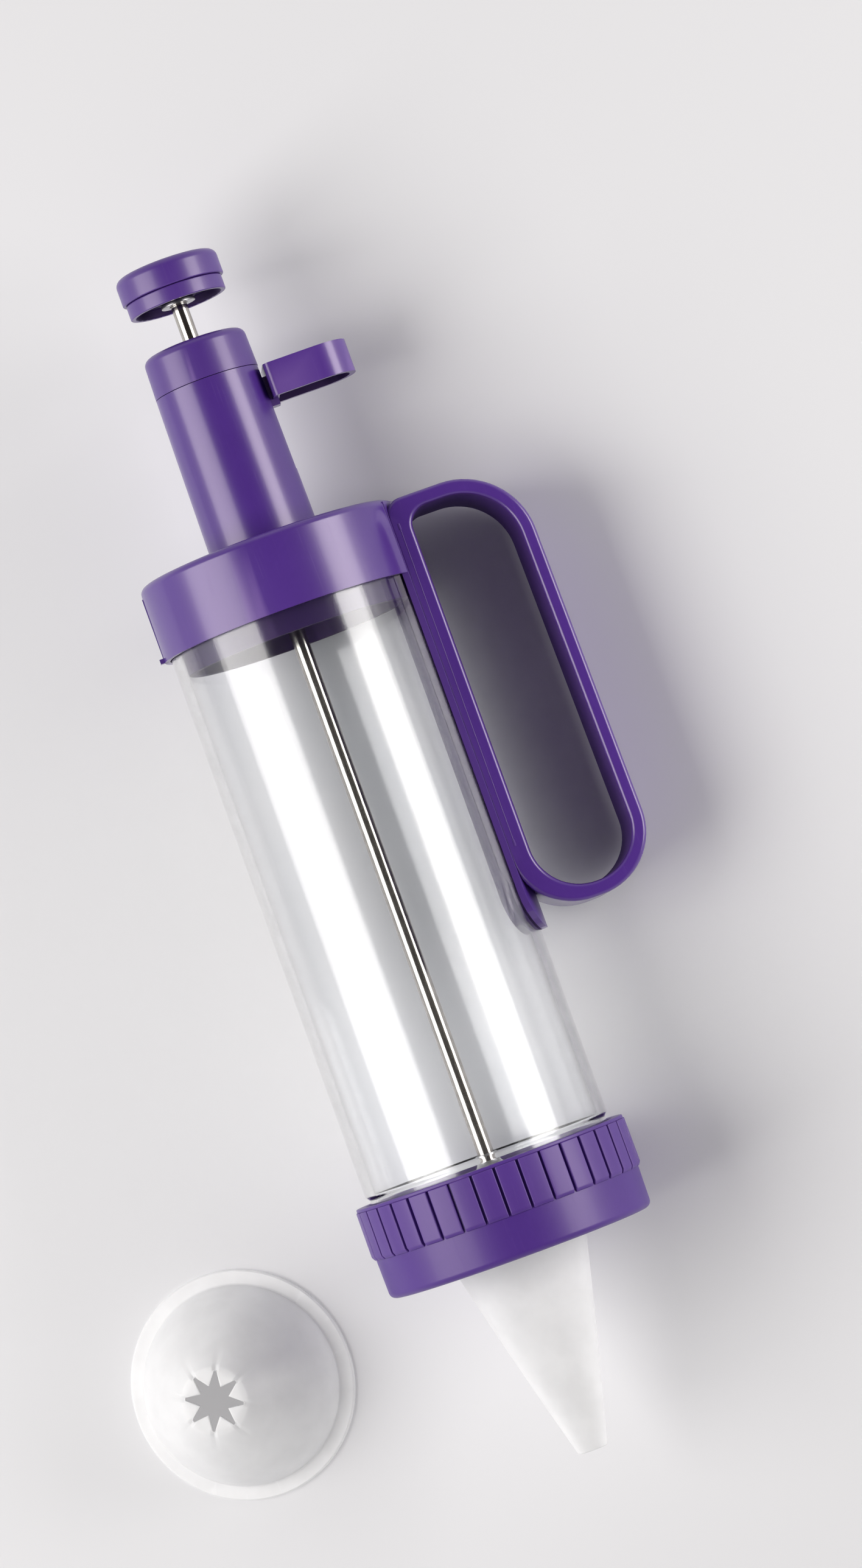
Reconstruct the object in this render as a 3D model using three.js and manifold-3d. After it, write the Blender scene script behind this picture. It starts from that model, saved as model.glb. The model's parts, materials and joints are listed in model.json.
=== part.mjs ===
// Cake decorating syringe: clear barrel, screw ring, two nozzles, plunger and a thumb lever feed.
// Millimetres. The tool is drawn upright, tip down on the origin, with Z up its axis and the
// handle toward +X. It is then laid on its side, as it rests on a table, beside the spare nozzle.

import * as THREE from 'three';
import { mergeVertices } from 'three/addons/utils/BufferGeometryUtils.js';
import Module from 'manifold-3d';

const wasm = await Module();
wasm.setup();

// Heights of the stack, from the tip up
const coneLength = 51.4;
const ringHeight = 23.6;
const shoulderGap = 2;
const clearLength = 140.9;
const capHeight = 19.3;
const neckHeight = 42.6;
const neckCapHeight = 10.6;
const rodShow = 10.4;
const knobHeight = 10.6;

// Clearances
const gap = 0.3;
const slideGap = 0.4;
const overrun = 1;

// Barrel
const barrelR = 31.65;
const barrelWall = 2.5;
const neckStep = 0.8;
const barrelLip = 1.6;
const barrelLipWidth = 1.75;
const threadedTop = 14;

// Screw threads
const threadPitch = 6;
const threadTurns = 1.25;
const ridgeDepth = 1;
const ridgeBase = 2;
const ridgeCrest = 1;
const ridgeSink = 0.4;
const neckThreadStart = 3;
const topThreadStart = 3.4;

// Screw ring
const ringWall = 2.15;
const padRise = 0.85;
const padCount = 37;
const padGroove = 1.1;
const padChamfer = 1;
const rimHeight = 0.9;
const rimStep = 0.35;
const bandHeight = 10.3;
const bandTaper = 0.2;
const ringRound = 1.6;
const ringLip = 6;
const lipGap = 0.9;

// Nozzles
const flangeInset = 1.05;
const flangeThick = 1.6;
const flangeWidth = 4.1;
const nozzleWall = 1.2;
const coneRootR = 16.85;
const coneFillet = 1.1;
const shoulderRound = 3.5;
const tipR = 3.7;
const tipBoreR = 2.6;
const coneBulgeShare = 0.08;
const domeLowShare = 0.57;
const starHeight = 27;
const starEndR = 9.3;
const starEdge = 0.7;
const starOuterR = 7.7;
const starInnerR = 4;
const starArms = 8;
const starArmTip = 1;
const starTurn = 23;
const creaseLength = 2;
const creaseDepth = 0.7;
const domeFillet = 0.5;
const nozzleAside = 90.8;
const nozzlePast = 10.2;

// Head: cap, inner skirt, neck, saddle and rib
const capWall = 1.35;
const capRoof = 3;
const capRound = 1.8;
const skirtDrop = 5.4;
const skirtWall = 2;
const neckBaseR = 14;
const neckTopR = 13.4;
const neckWall = 2.2;
const saddleWall = 1.15;
const saddleWidth = 30;
const saddleRound = 10;
const tongueDrop = 2.8;
const ribWidth = 0.9;
const ribRise = 0.5;
const ribFoot = 1.2;
const ribFootWidth = 2.4;

// Finger loop
const loopTopDrop = 1.2;
const loopHeight = 108.7;
const loopDepth = 29.4;
const loopBand = 3.7;
const loopEdge = 0.8;
const spineWall = 1.4;
const fingerRoomTop = 24.5;
const fingerRoomLow = 25.9;
const loopTopCornerShare = 0.6;
const loopLowCornerShare = 0.49;
const loopSpineCornerShare = 0.2;

// Neck cap
const neckCapWall = 2.2;
const neckCapRound = 2;

// Thumb lever and its carriage
const leverDrop = 9.3;
const leverHeight = 8.4;
const leverNear = 14;
const leverFar = 35.8;
const leverWidth = 17.4;
const leverNearCorner = 1.6;
const leverFarCorner = 8;
const leverRoof = 2;
const leverSide = 1.6;
const leverEnd = 2.3;
const leverEdge = 0.6;
const leverTravel = 16;
const slotWidth = 5.4;
const stemWidth = 4.6;
const stemReach = 15.4;
const stemShow = 1.6;
const carriageHeight = 8;
const carriageRoof = 2.5;
const carriageWall = 1.3;
const carriageDrop = 7.3;

// Grip plate, spring washer and return spring
const plateThick = 1.8;
const plateGap = 0.7;
const washerThick = 0.8;
const springWire = 1.1;
const springR = 8.4;
const springCoils = 5;
const springSteps = 8;
const springSides = 5;

// Plunger: rod, piston and knob
const rodR = 2.1;
const rodGap = 0.3;
const screwR = 1;
const screwDepth = 7;
const screwHeadR = 4.2;
const screwHead = 2;
const pistonHeight = 12;
const pistonInset = 0.75;
const pistonPlate = 2.5;
const pistonWall = 2;
const hubR = 5.4;
const hubDrop = 8.6;
const sealHeight = 3.6;
const sealDepth = 2.4;
const sealBelow = 4.6;
const footHeight = 3.4;
const footR = 3.6;
const footTopR = 2.8;
const knobR = 13.2;
const knobStep = 0.75;
const coverShare = 0.64;
const knobRound = 2;
const knobWall = 1.3;
const knobPlate = 1.4;
const knobHub = 0.9;
const knobHubR = 5;
const knobLip = 0.8;
const knobWasherR = 4.4;
const knobWasherThick = 0.9;

// Smoothness
const roundSegments = 40;
const neckSegments = 32;
const smallSegments = 20;
const threadSteps = 30;
const coneSteps = 4;
const arcSteps = 3;
const mergeDistance = 0.0001;

// Worked out heights
const ringLow = coneLength;
const ringTop = ringLow + ringHeight;
const shoulderZ = ringTop + shoulderGap;
const capLow = shoulderZ + clearLength;
const capTop = capLow + capHeight;
const capUnder = capTop - capRoof;
const seamZ = capTop + neckHeight;
const neckCapTop = seamZ + neckCapHeight;
const knobLow = neckCapTop + rodShow;
const knobTop = knobLow + knobHeight;
const seatZ = ringLow + ringLip;
const flangeLow = seatZ + gap;
const flangeTop = flangeLow + flangeThick;
const barrelLow = flangeTop + gap;
const barrelTop = capUnder - gap;
const skirtLow = capLow - skirtDrop;
const loopTop = capTop - loopTopDrop;
const loopLow = loopTop - loopHeight;
const tongueLow = loopLow - tongueDrop;

// Worked out radii
const boreR = barrelR - barrelWall;
const barrelNeckR = barrelR - neckStep;
const ridgeR = barrelNeckR + ridgeDepth;
const ringBoreR = ridgeR + gap;
const bandR = ringBoreR + ringWall;
const padR = bandR + padRise;
const capBoreR = barrelR + gap;
const capR = capBoreR + capWall;
const saddleR = capBoreR + saddleWall;
const spineFace = saddleR + gap + spineWall;
const neckBoreR = neckTopR - neckWall;
const flangeR = barrelNeckR - flangeInset;
const domeR = flangeR - flangeWidth;
const rodHoleR = rodR + rodGap;
const pistonR = boreR - pistonInset;

// Worked out places of the feed inside the neck
const leverTop = seamZ - leverDrop + leverHeight;
const leverLow = seamZ - leverDrop;
const stemLow = leverLow - stemShow;
const stemTop = leverTop - leverRoof - gap;
const carriageTop = seamZ - carriageDrop;
const carriageLow = carriageTop - carriageHeight;
const carriageR = neckBoreR - slideGap;
const pocketR = carriageR - carriageWall;
const pocketTop = carriageTop - carriageRoof;
const slotLow = stemLow - leverTravel - slideGap;
const plateTop = pocketTop - gap;
const plateR = pocketR - plateGap;
const washerTop = carriageLow - gap;
const springTop = washerTop - washerThick - gap;
const springLow = capTop + gap;

// Worked out places of the plunger
const pistonLow = barrelLow + barrelLip + gap;
const pistonTop = pistonLow + pistonHeight;
const hubLow = pistonTop - hubDrop;
const rodLow = hubLow + gap;
const coverLow = knobTop - knobHeight * coverShare;
const baseTop = coverLow - gap;
const baseR = knobR - knobStep;
const baseUnder = baseTop - knobPlate;
const knobHubLow = baseUnder - knobHub;
const rodTop = baseTop - gap;

// Materials, one for each moulding or metal
function plastic(colour, roughness) {
  return new THREE.MeshStandardMaterial({ color: colour, roughness, metalness: 0 });
}

function metal(colour, roughness) {
  return new THREE.MeshStandardMaterial({ color: colour, roughness, metalness: 1 });
}

const purple = plastic('#53318c', 0.35);
const darkPurple = plastic('#46287a', 0.4);
const clear = plastic('#dfe6ee', 0.08);
const white = plastic('#eef0f3', 0.4);
const rubber = plastic('#f4f4f2', 0.6);
const polished = metal('#c9c8c6', 0.12);
const springSteel = metal('#a9abae', 0.3);
const zinc = metal('#b9bcc0', 0.25);

// A closed geometry as a solid that can be joined and cut, with its faces turned outward
function solidOf(geometry) {
  const bare = geometry.clone();
  bare.deleteAttribute('normal');
  bare.deleteAttribute('uv');
  const merged = mergeVertices(bare, mergeDistance);
  const places = merged.attributes.position;
  const corners = [new THREE.Vector3(), new THREE.Vector3(), new THREE.Vector3()];
  const triangles = [];
  let volume = 0;
  for (let i = 0; i < merged.index.count; i += 3) {
    const [a, b, c] = [0, 1, 2].map((k) => merged.index.getX(i + k));
    if (a === b || b === c || c === a) continue;
    corners[0].fromBufferAttribute(places, a);
    corners[1].fromBufferAttribute(places, b);
    corners[2].fromBufferAttribute(places, c);
    volume += corners[0].dot(corners[1].cross(corners[2]));
    triangles.push(a, b, c);
  }
  if (volume < 0) triangles.reverse();
  return new wasm.Manifold(new wasm.Mesh({
    numProp: 3,
    vertProperties: new Float32Array(places.array),
    triVerts: new Uint32Array(triangles),
  }));
}

// A named mesh from a finished solid
function piece(name, solid, material) {
  const mesh = solid.getMesh();
  const geometry = new THREE.BufferGeometry();
  geometry.setAttribute('position', new THREE.Float32BufferAttribute(mesh.vertProperties, 3));
  geometry.setIndex(Array.from(mesh.triVerts));
  geometry.computeVertexNormals();
  const result = new THREE.Mesh(geometry, material);
  result.name = name;
  return result;
}

// A turned solid from a profile of radius and height pairs that closes on itself or on the axis
function turned(profile, segments = roundSegments) {
  const points = profile.map(([r, z]) => new THREE.Vector2(r, z));
  const onAxis = profile[0][0] === 0 && profile[profile.length - 1][0] === 0;
  if (!onAxis) points.push(points[0].clone());
  const geometry = new THREE.LatheGeometry(points, segments);
  geometry.rotateX(Math.PI / 2);
  return solidOf(geometry);
}

function tube(outer, inner, low, high, segments = roundSegments) {
  return turned([[inner, low], [outer, low], [outer, high], [inner, high]], segments);
}

function disc(radius, low, high, segments = roundSegments) {
  return turned([[0, low], [radius, low], [radius, high], [0, high]], segments);
}

function block(x0, x1, y0, y1, z0, z1) {
  const geometry = new THREE.BoxGeometry(x1 - x0, y1 - y0, z1 - z0);
  geometry.translate((x0 + x1) / 2, (y0 + y1) / 2, (z0 + z1) / 2);
  return solidOf(geometry);
}

// Points of an arc in radius and height, angles in degrees from the outward direction
function arc(r, z, radius, from, to, steps = arcSteps) {
  return Array.from({ length: steps + 1 }, (unused, i) => {
    const angle = THREE.MathUtils.degToRad(from + (to - from) * i / steps);
    return [r + radius * Math.cos(angle), z + radius * Math.sin(angle)];
  });
}

// A closed outline of straight sides with a rounded corner at each [x, y, radius]
function rounded(corners, steps = arcSteps) {
  const points = corners.flatMap(([x, y, radius], i) => {
    const here = new THREE.Vector2(x, y);
    if (radius === 0) return [here];
    const before = new THREE.Vector2(...corners.at(i - 1)).sub(here).normalize();
    const after = new THREE.Vector2(...corners[(i + 1) % corners.length]).sub(here).normalize();
    const half = Math.acos(THREE.MathUtils.clamp(before.dot(after), -1, 1)) / 2;
    const middle = before.clone().add(after).normalize();
    const centre = here.clone().addScaledVector(middle, radius / Math.sin(half));
    const reach = radius / Math.tan(half);
    const start = here.clone().addScaledVector(before, reach).sub(centre);
    const end = here.clone().addScaledVector(after, reach).sub(centre);
    let sweep = end.angle() - start.angle();
    if (sweep > Math.PI) sweep -= 2 * Math.PI;
    if (sweep < -Math.PI) sweep += 2 * Math.PI;
    return Array.from({ length: steps + 1 }, (unused, k) => (
      start.clone().rotateAround(new THREE.Vector2(), sweep * k / steps).add(centre)));
  });
  return new THREE.Shape(points);
}

// An outline in x and z, drawn out along y on both sides of the middle plane
function slab(shape, width, edge = 0) {
  const geometry = new THREE.ExtrudeGeometry(shape, {
    depth: width - 2 * edge,
    bevelEnabled: edge > 0,
    bevelThickness: edge,
    bevelSize: edge,
    bevelOffset: -edge,
    bevelSegments: 2,
  });
  geometry.translate(0, 0, edge - width / 2);
  geometry.rotateX(Math.PI / 2);
  return solidOf(geometry);
}

// An outline in x and y, drawn up from low to high
function prism(shape, low, high) {
  const geometry = new THREE.ExtrudeGeometry(shape, { depth: high - low, bevelEnabled: false });
  geometry.translate(0, 0, low);
  return solidOf(geometry);
}

// A closed body through a row of rings of points, with flat ends
function swept(rings) {
  const count = rings[0].length;
  const places = rings.flat().flatMap((point) => point.toArray());
  const index = [];
  for (let i = 0; i < rings.length - 1; i += 1) {
    for (let k = 0; k < count; k += 1) {
      const a = i * count + k;
      const b = i * count + (k + 1) % count;
      index.push(a, b, a + count, b, b + count, a + count);
    }
  }
  const last = (rings.length - 1) * count;
  for (let k = 1; k < count - 1; k += 1) {
    index.push(0, k + 1, k);
    index.push(last, last + k, last + k + 1);
  }
  const geometry = new THREE.BufferGeometry();
  geometry.setAttribute('position', new THREE.Float32BufferAttribute(places, 3));
  geometry.setIndex(index);
  return solidOf(geometry);
}

// A screw ridge, from its root at one radius to its crest at another
function ridge(rootR, crestR, low) {
  const steps = Math.round(threadTurns * threadSteps);
  const rings = Array.from({ length: steps + 1 }, (unused, i) => {
    const turn = threadTurns * i / steps;
    const angle = turn * 2 * Math.PI;
    const z = low + turn * threadPitch;
    const section = [
      [rootR, -ridgeBase / 2], [crestR, -ridgeCrest / 2], [crestR, ridgeCrest / 2], [rootR, ridgeBase / 2]];
    return section.map(([r, dz]) => new THREE.Vector3(r * Math.cos(angle), r * Math.sin(angle), z + dz));
  });
  return swept(rings);
}

// The clear tube: neck with a screw ridge and a lip below, a threaded end inside the cap above
function barrel() {
  const topR = barrelR - neckStep;
  const threadLow = barrelTop - threadedTop;
  const body = turned([
    [boreR - barrelLipWidth, barrelLow],
    [barrelNeckR, barrelLow],
    [barrelNeckR, shoulderZ - neckStep],
    [barrelR, shoulderZ],
    [barrelR, threadLow - neckStep],
    [topR, threadLow],
    [topR, barrelTop],
    [boreR, barrelTop],
    [boreR, barrelLow + barrelLip],
    [boreR - barrelLipWidth, barrelLow + barrelLip],
  ]);
  const lowRidge = ridge(barrelNeckR - ridgeSink, ridgeR, barrelLow + neckThreadStart);
  const topRidge = ridge(topR - ridgeSink, barrelR, threadLow + topThreadStart);
  return body.add(lowRidge).add(topRidge);
}

// The ring that holds the nozzle: ribbed grip zone, smooth band, inner lip and screw ridge
function lockingRing() {
  const lipR = domeR + lipGap;
  const padLow = ringLow + bandHeight;
  const padTop = ringTop - rimHeight;
  const lowR = bandR - bandTaper;
  const body = turned([
    [lipR, ringLow],
    ...arc(lowR - ringRound, ringLow + ringRound, ringRound, -90, 0),
    [bandR, padLow],
    [padR - rimStep, padLow + padChamfer - rimStep],
    [padR, padLow + padChamfer],
    [padR, padTop],
    [padR - rimStep, padTop],
    [padR - rimStep, ringTop],
    [ringBoreR, ringTop],
    [ringBoreR, seatZ],
    [lipR, seatZ],
  ], padCount);
  const grooves = Array.from({ length: padCount }, (unused, i) => {
    const angle = 360 * i / padCount;
    return block(bandR, padR + overrun, -padGroove / 2, padGroove / 2, padLow, padTop).rotate([0, 0, angle]);
  });
  const femaleLow = barrelLow + neckThreadStart - threadPitch / 2;
  const female = ridge(ringBoreR + ridgeSink, barrelNeckR + slideGap, femaleLow);
  return body.subtract(wasm.Manifold.union(grooves)).add(female);
}

// The fitted round nozzle, flange inside the ring and cone down to the tip
function roundNozzle() {
  const coneR = (z) => {
    const share = z / coneLength;
    return tipR + (coneRootR - tipR) * (share + coneBulgeShare * share * (1 - share));
  };
  const coneHeights = Array.from({ length: coneSteps }, (unused, i) => ringLow * i / coneSteps);
  const outer = [
    ...coneHeights.map((z) => [coneR(z), z]),
    [coneRootR, ringLow],
    [coneRootR + coneFillet, ringLow + coneFillet],
    ...arc(domeR - shoulderRound, flangeLow, shoulderRound, -90, 0),
  ];
  const innerRound = shoulderRound - nozzleWall;
  const inner = [
    ...arc(domeR - shoulderRound, flangeLow, innerRound, 0, -90),
    [coneRootR + coneFillet - nozzleWall, ringLow + coneFillet + nozzleWall],
    [coneRootR - nozzleWall, ringLow],
    [tipBoreR, 0],
  ];
  return turned([
    ...outer,
    [flangeR, flangeLow],
    [flangeR, flangeTop],
    [domeR - nozzleWall, flangeTop],
    ...inner,
  ]);
}

// Corners of a star with blunt arms, as a shape in x and y
function starOutline() {
  const armAngle = 2 * Math.PI / starArms;
  const halfTip = starArmTip / 2;
  const points = [];
  for (let i = 0; i < starArms; i += 1) {
    const middle = i * armAngle;
    const corners = [
      [starOuterR - halfTip, -halfTip], [starOuterR, 0], [starOuterR - halfTip, halfTip]];
    corners.forEach(([x, y]) => points.push(
      new THREE.Vector2(x, y).rotateAround(new THREE.Vector2(), middle)));
    points.push(new THREE.Vector2(starInnerR, 0).rotateAround(new THREE.Vector2(), middle + armAngle / 2));
  }
  return new THREE.Shape(points);
}

// The spare star nozzle, standing on its flange
function starNozzle() {
  const domeCurve = (inset) => new THREE.QuadraticBezierCurve(
    new THREE.Vector2(domeR - inset, flangeThick),
    new THREE.Vector2(domeR - inset - flangeThick, starHeight * domeLowShare),
    new THREE.Vector2(starEndR, starHeight - starEdge - inset),
  ).getPoints(2 * arcSteps).map((point) => [point.x, point.y]);
  const body = turned([
    [domeR - nozzleWall, 0],
    [flangeR - domeFillet, 0],
    [flangeR, domeFillet],
    [flangeR, flangeThick],
    [domeR + domeFillet, flangeThick],
    ...domeCurve(0).slice(1),
    [starEndR - starEdge, starHeight],
    [0, starHeight],
    [0, starHeight - nozzleWall],
    [starEndR - nozzleWall, starHeight - nozzleWall - starEdge],
    ...domeCurve(nozzleWall).reverse().slice(1),
  ]);
  const star = prism(starOutline(), starHeight / 2, starHeight + overrun).rotate([0, 0, starTurn]);
  const creases = Array.from({ length: starArms }, (unused, i) => {
    const shape = new THREE.Shape([
      new THREE.Vector2(starOuterR - starArmTip, -creaseDepth),
      new THREE.Vector2(starEndR + creaseLength, 0),
      new THREE.Vector2(starOuterR - starArmTip, creaseDepth),
    ]);
    return prism(shape, starHeight - starEdge - creaseDepth, starHeight + overrun)
      .rotate([0, 0, starTurn + 360 * i / starArms]);
  });
  return body.subtract(star).subtract(wasm.Manifold.union(creases));
}

// Outline of the saddle seen from the handle side: straight sides and a rounded tongue
function saddleOutline(high) {
  const half = saddleWidth / 2;
  return rounded([
    [-half, tongueLow, saddleRound], [half, tongueLow, saddleRound], [half, high, 0], [-half, high, 0]]);
}

// The saddle's outline drawn out toward the handle, to cut or keep what lies in front of it
function saddlePlate(high) {
  const depth = capR + overrun;
  const geometry = new THREE.ExtrudeGeometry(saddleOutline(high), { depth, bevelEnabled: false });
  geometry.rotateX(Math.PI / 2);
  geometry.rotateZ(Math.PI / 2);
  return solidOf(geometry);
}

// The head moulding: cap, inner skirt, neck with its slot, saddle down the barrel and a thin rib
function headMoulding() {
  const skirtR = boreR - slideGap;
  const capEdge = capR - capRound;
  const body = turned([
    [capBoreR, capLow],
    [capR, capLow],
    ...arc(capEdge, capTop - capRound, capRound, 0, 90),
    [neckBaseR, capTop],
    [neckTopR, seamZ],
    [neckBoreR, seamZ],
    [neckBoreR, capTop],
    [rodHoleR, capTop],
    [rodHoleR, capUnder],
    [skirtR - skirtWall, capUnder],
    [skirtR - skirtWall, skirtLow],
    [skirtR, skirtLow],
    [skirtR, capUnder],
    [capBoreR, capUnder],
  ]);
  const recessTop = loopTop + gap;
  const plate = saddlePlate(recessTop);
  const recess = tube(capR + overrun, saddleR, capLow - overrun, recessTop).intersect(plate);
  const saddle = tube(saddleR, capBoreR, tongueLow, recessTop).intersect(plate);
  const slot = block(0, neckBaseR + overrun, -slotWidth / 2, slotWidth / 2, slotLow, seamZ + overrun);
  const ribTop = capTop - capRound;
  const rib = block(-capR - ribRise, -capBoreR - ribRise, -ribWidth / 2, ribWidth / 2, capLow, ribTop);
  const foot = block(-capR - ribFoot, -capBoreR - ribRise, -ribFootWidth / 2, ribFootWidth / 2,
    capLow, capLow + ribFoot);
  return body.subtract(recess).add(saddle).subtract(slot).add(rib).add(foot);
}

// The finger loop: a rounded band whose spine hugs the saddle
function handleLoop() {
  const seatR = saddleR + gap;
  const spineBack = Math.sqrt(seatR ** 2 - (loopDepth / 2) ** 2) - overrun;
  const innerTop = loopTop - loopBand;
  const innerLow = loopLow + loopBand;
  const topFar = spineFace + fingerRoomTop;
  const lowFar = spineFace + fingerRoomLow;
  const topCorner = fingerRoomTop * loopTopCornerShare;
  const lowCorner = fingerRoomLow * loopLowCornerShare;
  const spineCorner = fingerRoomTop * loopSpineCornerShare;
  const band = rounded([
    [spineBack, loopTop, 0],
    [spineBack, loopLow, lowCorner + loopBand],
    [lowFar + loopBand, loopLow, lowCorner + loopBand],
    [topFar + loopBand, loopTop, topCorner + loopBand],
  ], 2 * arcSteps);
  band.holes.push(rounded([
    [spineFace, innerTop, spineCorner],
    [topFar, innerTop, topCorner],
    [lowFar, innerLow, lowCorner],
    [spineFace, innerLow, lowCorner],
  ], 2 * arcSteps));
  const seat = disc(seatR, loopLow - overrun, loopTop + overrun);
  return slab(band, loopDepth, loopEdge).subtract(seat);
}

// The cap that closes the neck, with a spigot that the carriage comes to rest against
function neckCap() {
  const spigotR = neckBoreR - gap;
  const hollowR = spigotR - neckCapWall;
  return turned([
    [hollowR, carriageTop + gap],
    [spigotR, carriageTop + gap],
    [spigotR, seamZ + gap],
    [neckTopR, seamZ + gap],
    ...arc(neckTopR - neckCapRound, neckCapTop - neckCapRound, neckCapRound, 0, 90),
    [rodHoleR, neckCapTop],
    [rodHoleR, neckCapTop - neckCapWall],
    [hollowR, neckCapTop - neckCapWall],
  ], neckSegments);
}

// Plan of the lever, shrunk by a wall on its sides and its outer end
function leverPlan(side, end) {
  const half = leverWidth / 2 - side;
  const near = Math.max(leverNearCorner - side, 0);
  return rounded([
    [leverNear + side, -half, near],
    [leverFar - end, -half, leverFarCorner - side],
    [leverFar - end, half, leverFarCorner - side],
    [leverNear + side, half, near],
  ]);
}

// The thumb lever: a shell closed on top, with a socket for the stem
function thumbLever() {
  const geometry = new THREE.ExtrudeGeometry(leverPlan(0, 0), {
    depth: leverHeight - leverEdge,
    bevelEnabled: true,
    bevelThickness: leverEdge,
    bevelSize: leverEdge,
    bevelOffset: -leverEdge,
    bevelSegments: 2,
  });
  geometry.translate(0, 0, leverLow);
  const shell = solidOf(geometry);
  const keep = block(0, leverFar + overrun, -leverWidth, leverWidth, leverLow, leverTop);
  const hollow = prism(leverPlan(leverSide, leverEnd), leverLow - overrun, leverTop - leverRoof);
  const socket = block(0, stemReach + gap, -stemWidth / 2 - gap, stemWidth / 2 + gap,
    leverLow - overrun, stemTop + gap);
  return shell.intersect(keep).subtract(hollow).subtract(socket);
}

// The carriage in the neck: a cup for the grip plate, and the stem out through the slot
function leverCarriage() {
  const cup = turned([
    [pocketR, carriageLow],
    [carriageR, carriageLow],
    [carriageR, carriageTop],
    [rodHoleR, carriageTop],
    [rodHoleR, pocketTop],
    [pocketR, pocketTop],
  ], neckSegments);
  const stemInner = neckBoreR - gap + slideGap;
  const stem = slab(new THREE.Shape([
    new THREE.Vector2(pocketR, stemLow),
    new THREE.Vector2(stemReach, stemLow),
    new THREE.Vector2(stemReach, stemTop),
    new THREE.Vector2(stemInner, stemTop),
    new THREE.Vector2(stemInner, carriageTop),
    new THREE.Vector2(pocketR, carriageTop),
  ]), stemWidth);
  return cup.add(stem);
}

function gripPlate() {
  return tube(plateR, rodHoleR, plateTop - plateThick, plateTop, smallSegments);
}

function springWasher() {
  return tube(carriageR, rodHoleR + gap, washerTop - washerThick, washerTop, smallSegments);
}

// Centre line of the return spring: a helix whose ends run on straight for one wire thickness
function springLine() {
  const rise = springTop - springLow - springWire;
  const steps = springCoils * springSteps;
  const at = (turn) => {
    const angle = turn * 2 * Math.PI;
    const z = springLow + springWire / 2 + rise * turn / springCoils;
    return new THREE.Vector3(springR * Math.cos(angle), springR * Math.sin(angle), z);
  };
  const along = (turn, way) => {
    const angle = turn * 2 * Math.PI;
    return new THREE.Vector3(-Math.sin(angle), Math.cos(angle), 0).multiplyScalar(way * springWire);
  };
  const points = Array.from({ length: steps + 1 }, (unused, i) => at(springCoils * i / steps));
  points.unshift(points[0].clone().add(along(0, -1)));
  points.push(points.at(-1).clone().add(along(springCoils, 1)));
  return points;
}

// The smallest clear distance between turns of the spring, for a check of the source
function springLeastGap(points) {
  let least = Infinity;
  for (let i = 0; i < points.length; i += 1) {
    for (let k = i + springSteps - 1; k < points.length; k += 1) {
      least = Math.min(least, points[i].distanceTo(points[k]));
    }
  }
  return least - springWire;
}

function returnSpring() {
  const points = springLine();
  const up = new THREE.Vector3(0, 0, 1);
  const rings = points.map((point, i) => {
    const before = points[Math.max(i - 1, 0)];
    const after = points[Math.min(i + 1, points.length - 1)];
    const ahead = after.clone().sub(before).normalize();
    const side = new THREE.Vector3().crossVectors(ahead, up).normalize();
    const top = new THREE.Vector3().crossVectors(side, ahead);
    return Array.from({ length: springSides }, (unused, k) => {
      const angle = 2 * Math.PI * k / springSides;
      return point.clone()
        .addScaledVector(side, springWire / 2 * Math.cos(angle))
        .addScaledVector(top, springWire / 2 * Math.sin(angle));
    });
  });
  console.log(`return spring, least gap between turns ${springLeastGap(points).toFixed(2)} mm`);
  return swept(rings);
}

// The rod, bored at both ends for its screws
function plungerRod() {
  const screwHoleR = screwR + gap;
  return turned([
    [0, rodLow + screwDepth],
    [screwHoleR, rodLow + screwDepth],
    [screwHoleR, rodLow],
    [rodR, rodLow],
    [rodR, rodTop],
    [screwHoleR, rodTop],
    [screwHoleR, rodTop - screwDepth],
    [0, rodTop - screwDepth],
  ], smallSegments);
}

// A pan head screw with its head at one height and its shank toward the rod
function screw(headOuter, headInner, shankEnd) {
  return turned([
    [0, headOuter], [screwHeadR, headOuter], [screwHeadR, headInner], [screwR, headInner], [screwR, shankEnd],
    [0, shankEnd],
  ], smallSegments);
}

// The piston: a disc with a hub and a wall that carries the seal in a groove
function pistonBody() {
  const wallR = pistonR - sealDepth - pistonWall;
  const sealLow = pistonLow + sealBelow;
  const grooveR = pistonR - sealDepth;
  return turned([
    [rodHoleR, hubLow],
    [hubR, hubLow],
    [hubR, pistonTop - pistonPlate],
    [wallR, pistonTop - pistonPlate],
    [wallR, pistonLow],
    [pistonR, pistonLow],
    [pistonR, sealLow],
    [grooveR, sealLow],
    [grooveR, sealLow + sealHeight],
    [pistonR, sealLow + sealHeight],
    [pistonR, pistonTop],
    [rodHoleR, pistonTop],
  ]);
}

function pistonSeal() {
  const low = pistonLow + sealBelow + gap;
  const high = pistonLow + sealBelow + sealHeight - gap;
  const crest = boreR - gap;
  const shoulder = pistonR - gap;
  const inner = pistonR - sealDepth + gap;
  return turned([
    [inner, low],
    [shoulder, low],
    [crest, low + (high - low) / 3],
    [crest, high - (high - low) / 3],
    [shoulder, high],
    [inner, high],
  ]);
}

// The flared metal foot where the rod meets the piston
function pistonFoot() {
  const low = pistonTop + gap;
  const high = low + footHeight;
  return turned([
    [rodHoleR, low],
    [footR, low],
    [footR, low + footHeight / 8],
    [footTopR + (footR - footTopR) / 3, low + footHeight / 3],
    [footTopR, low + footHeight * 2 / 3],
    [footTopR, high],
    [rodHoleR, high],
  ], smallSegments);
}

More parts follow.
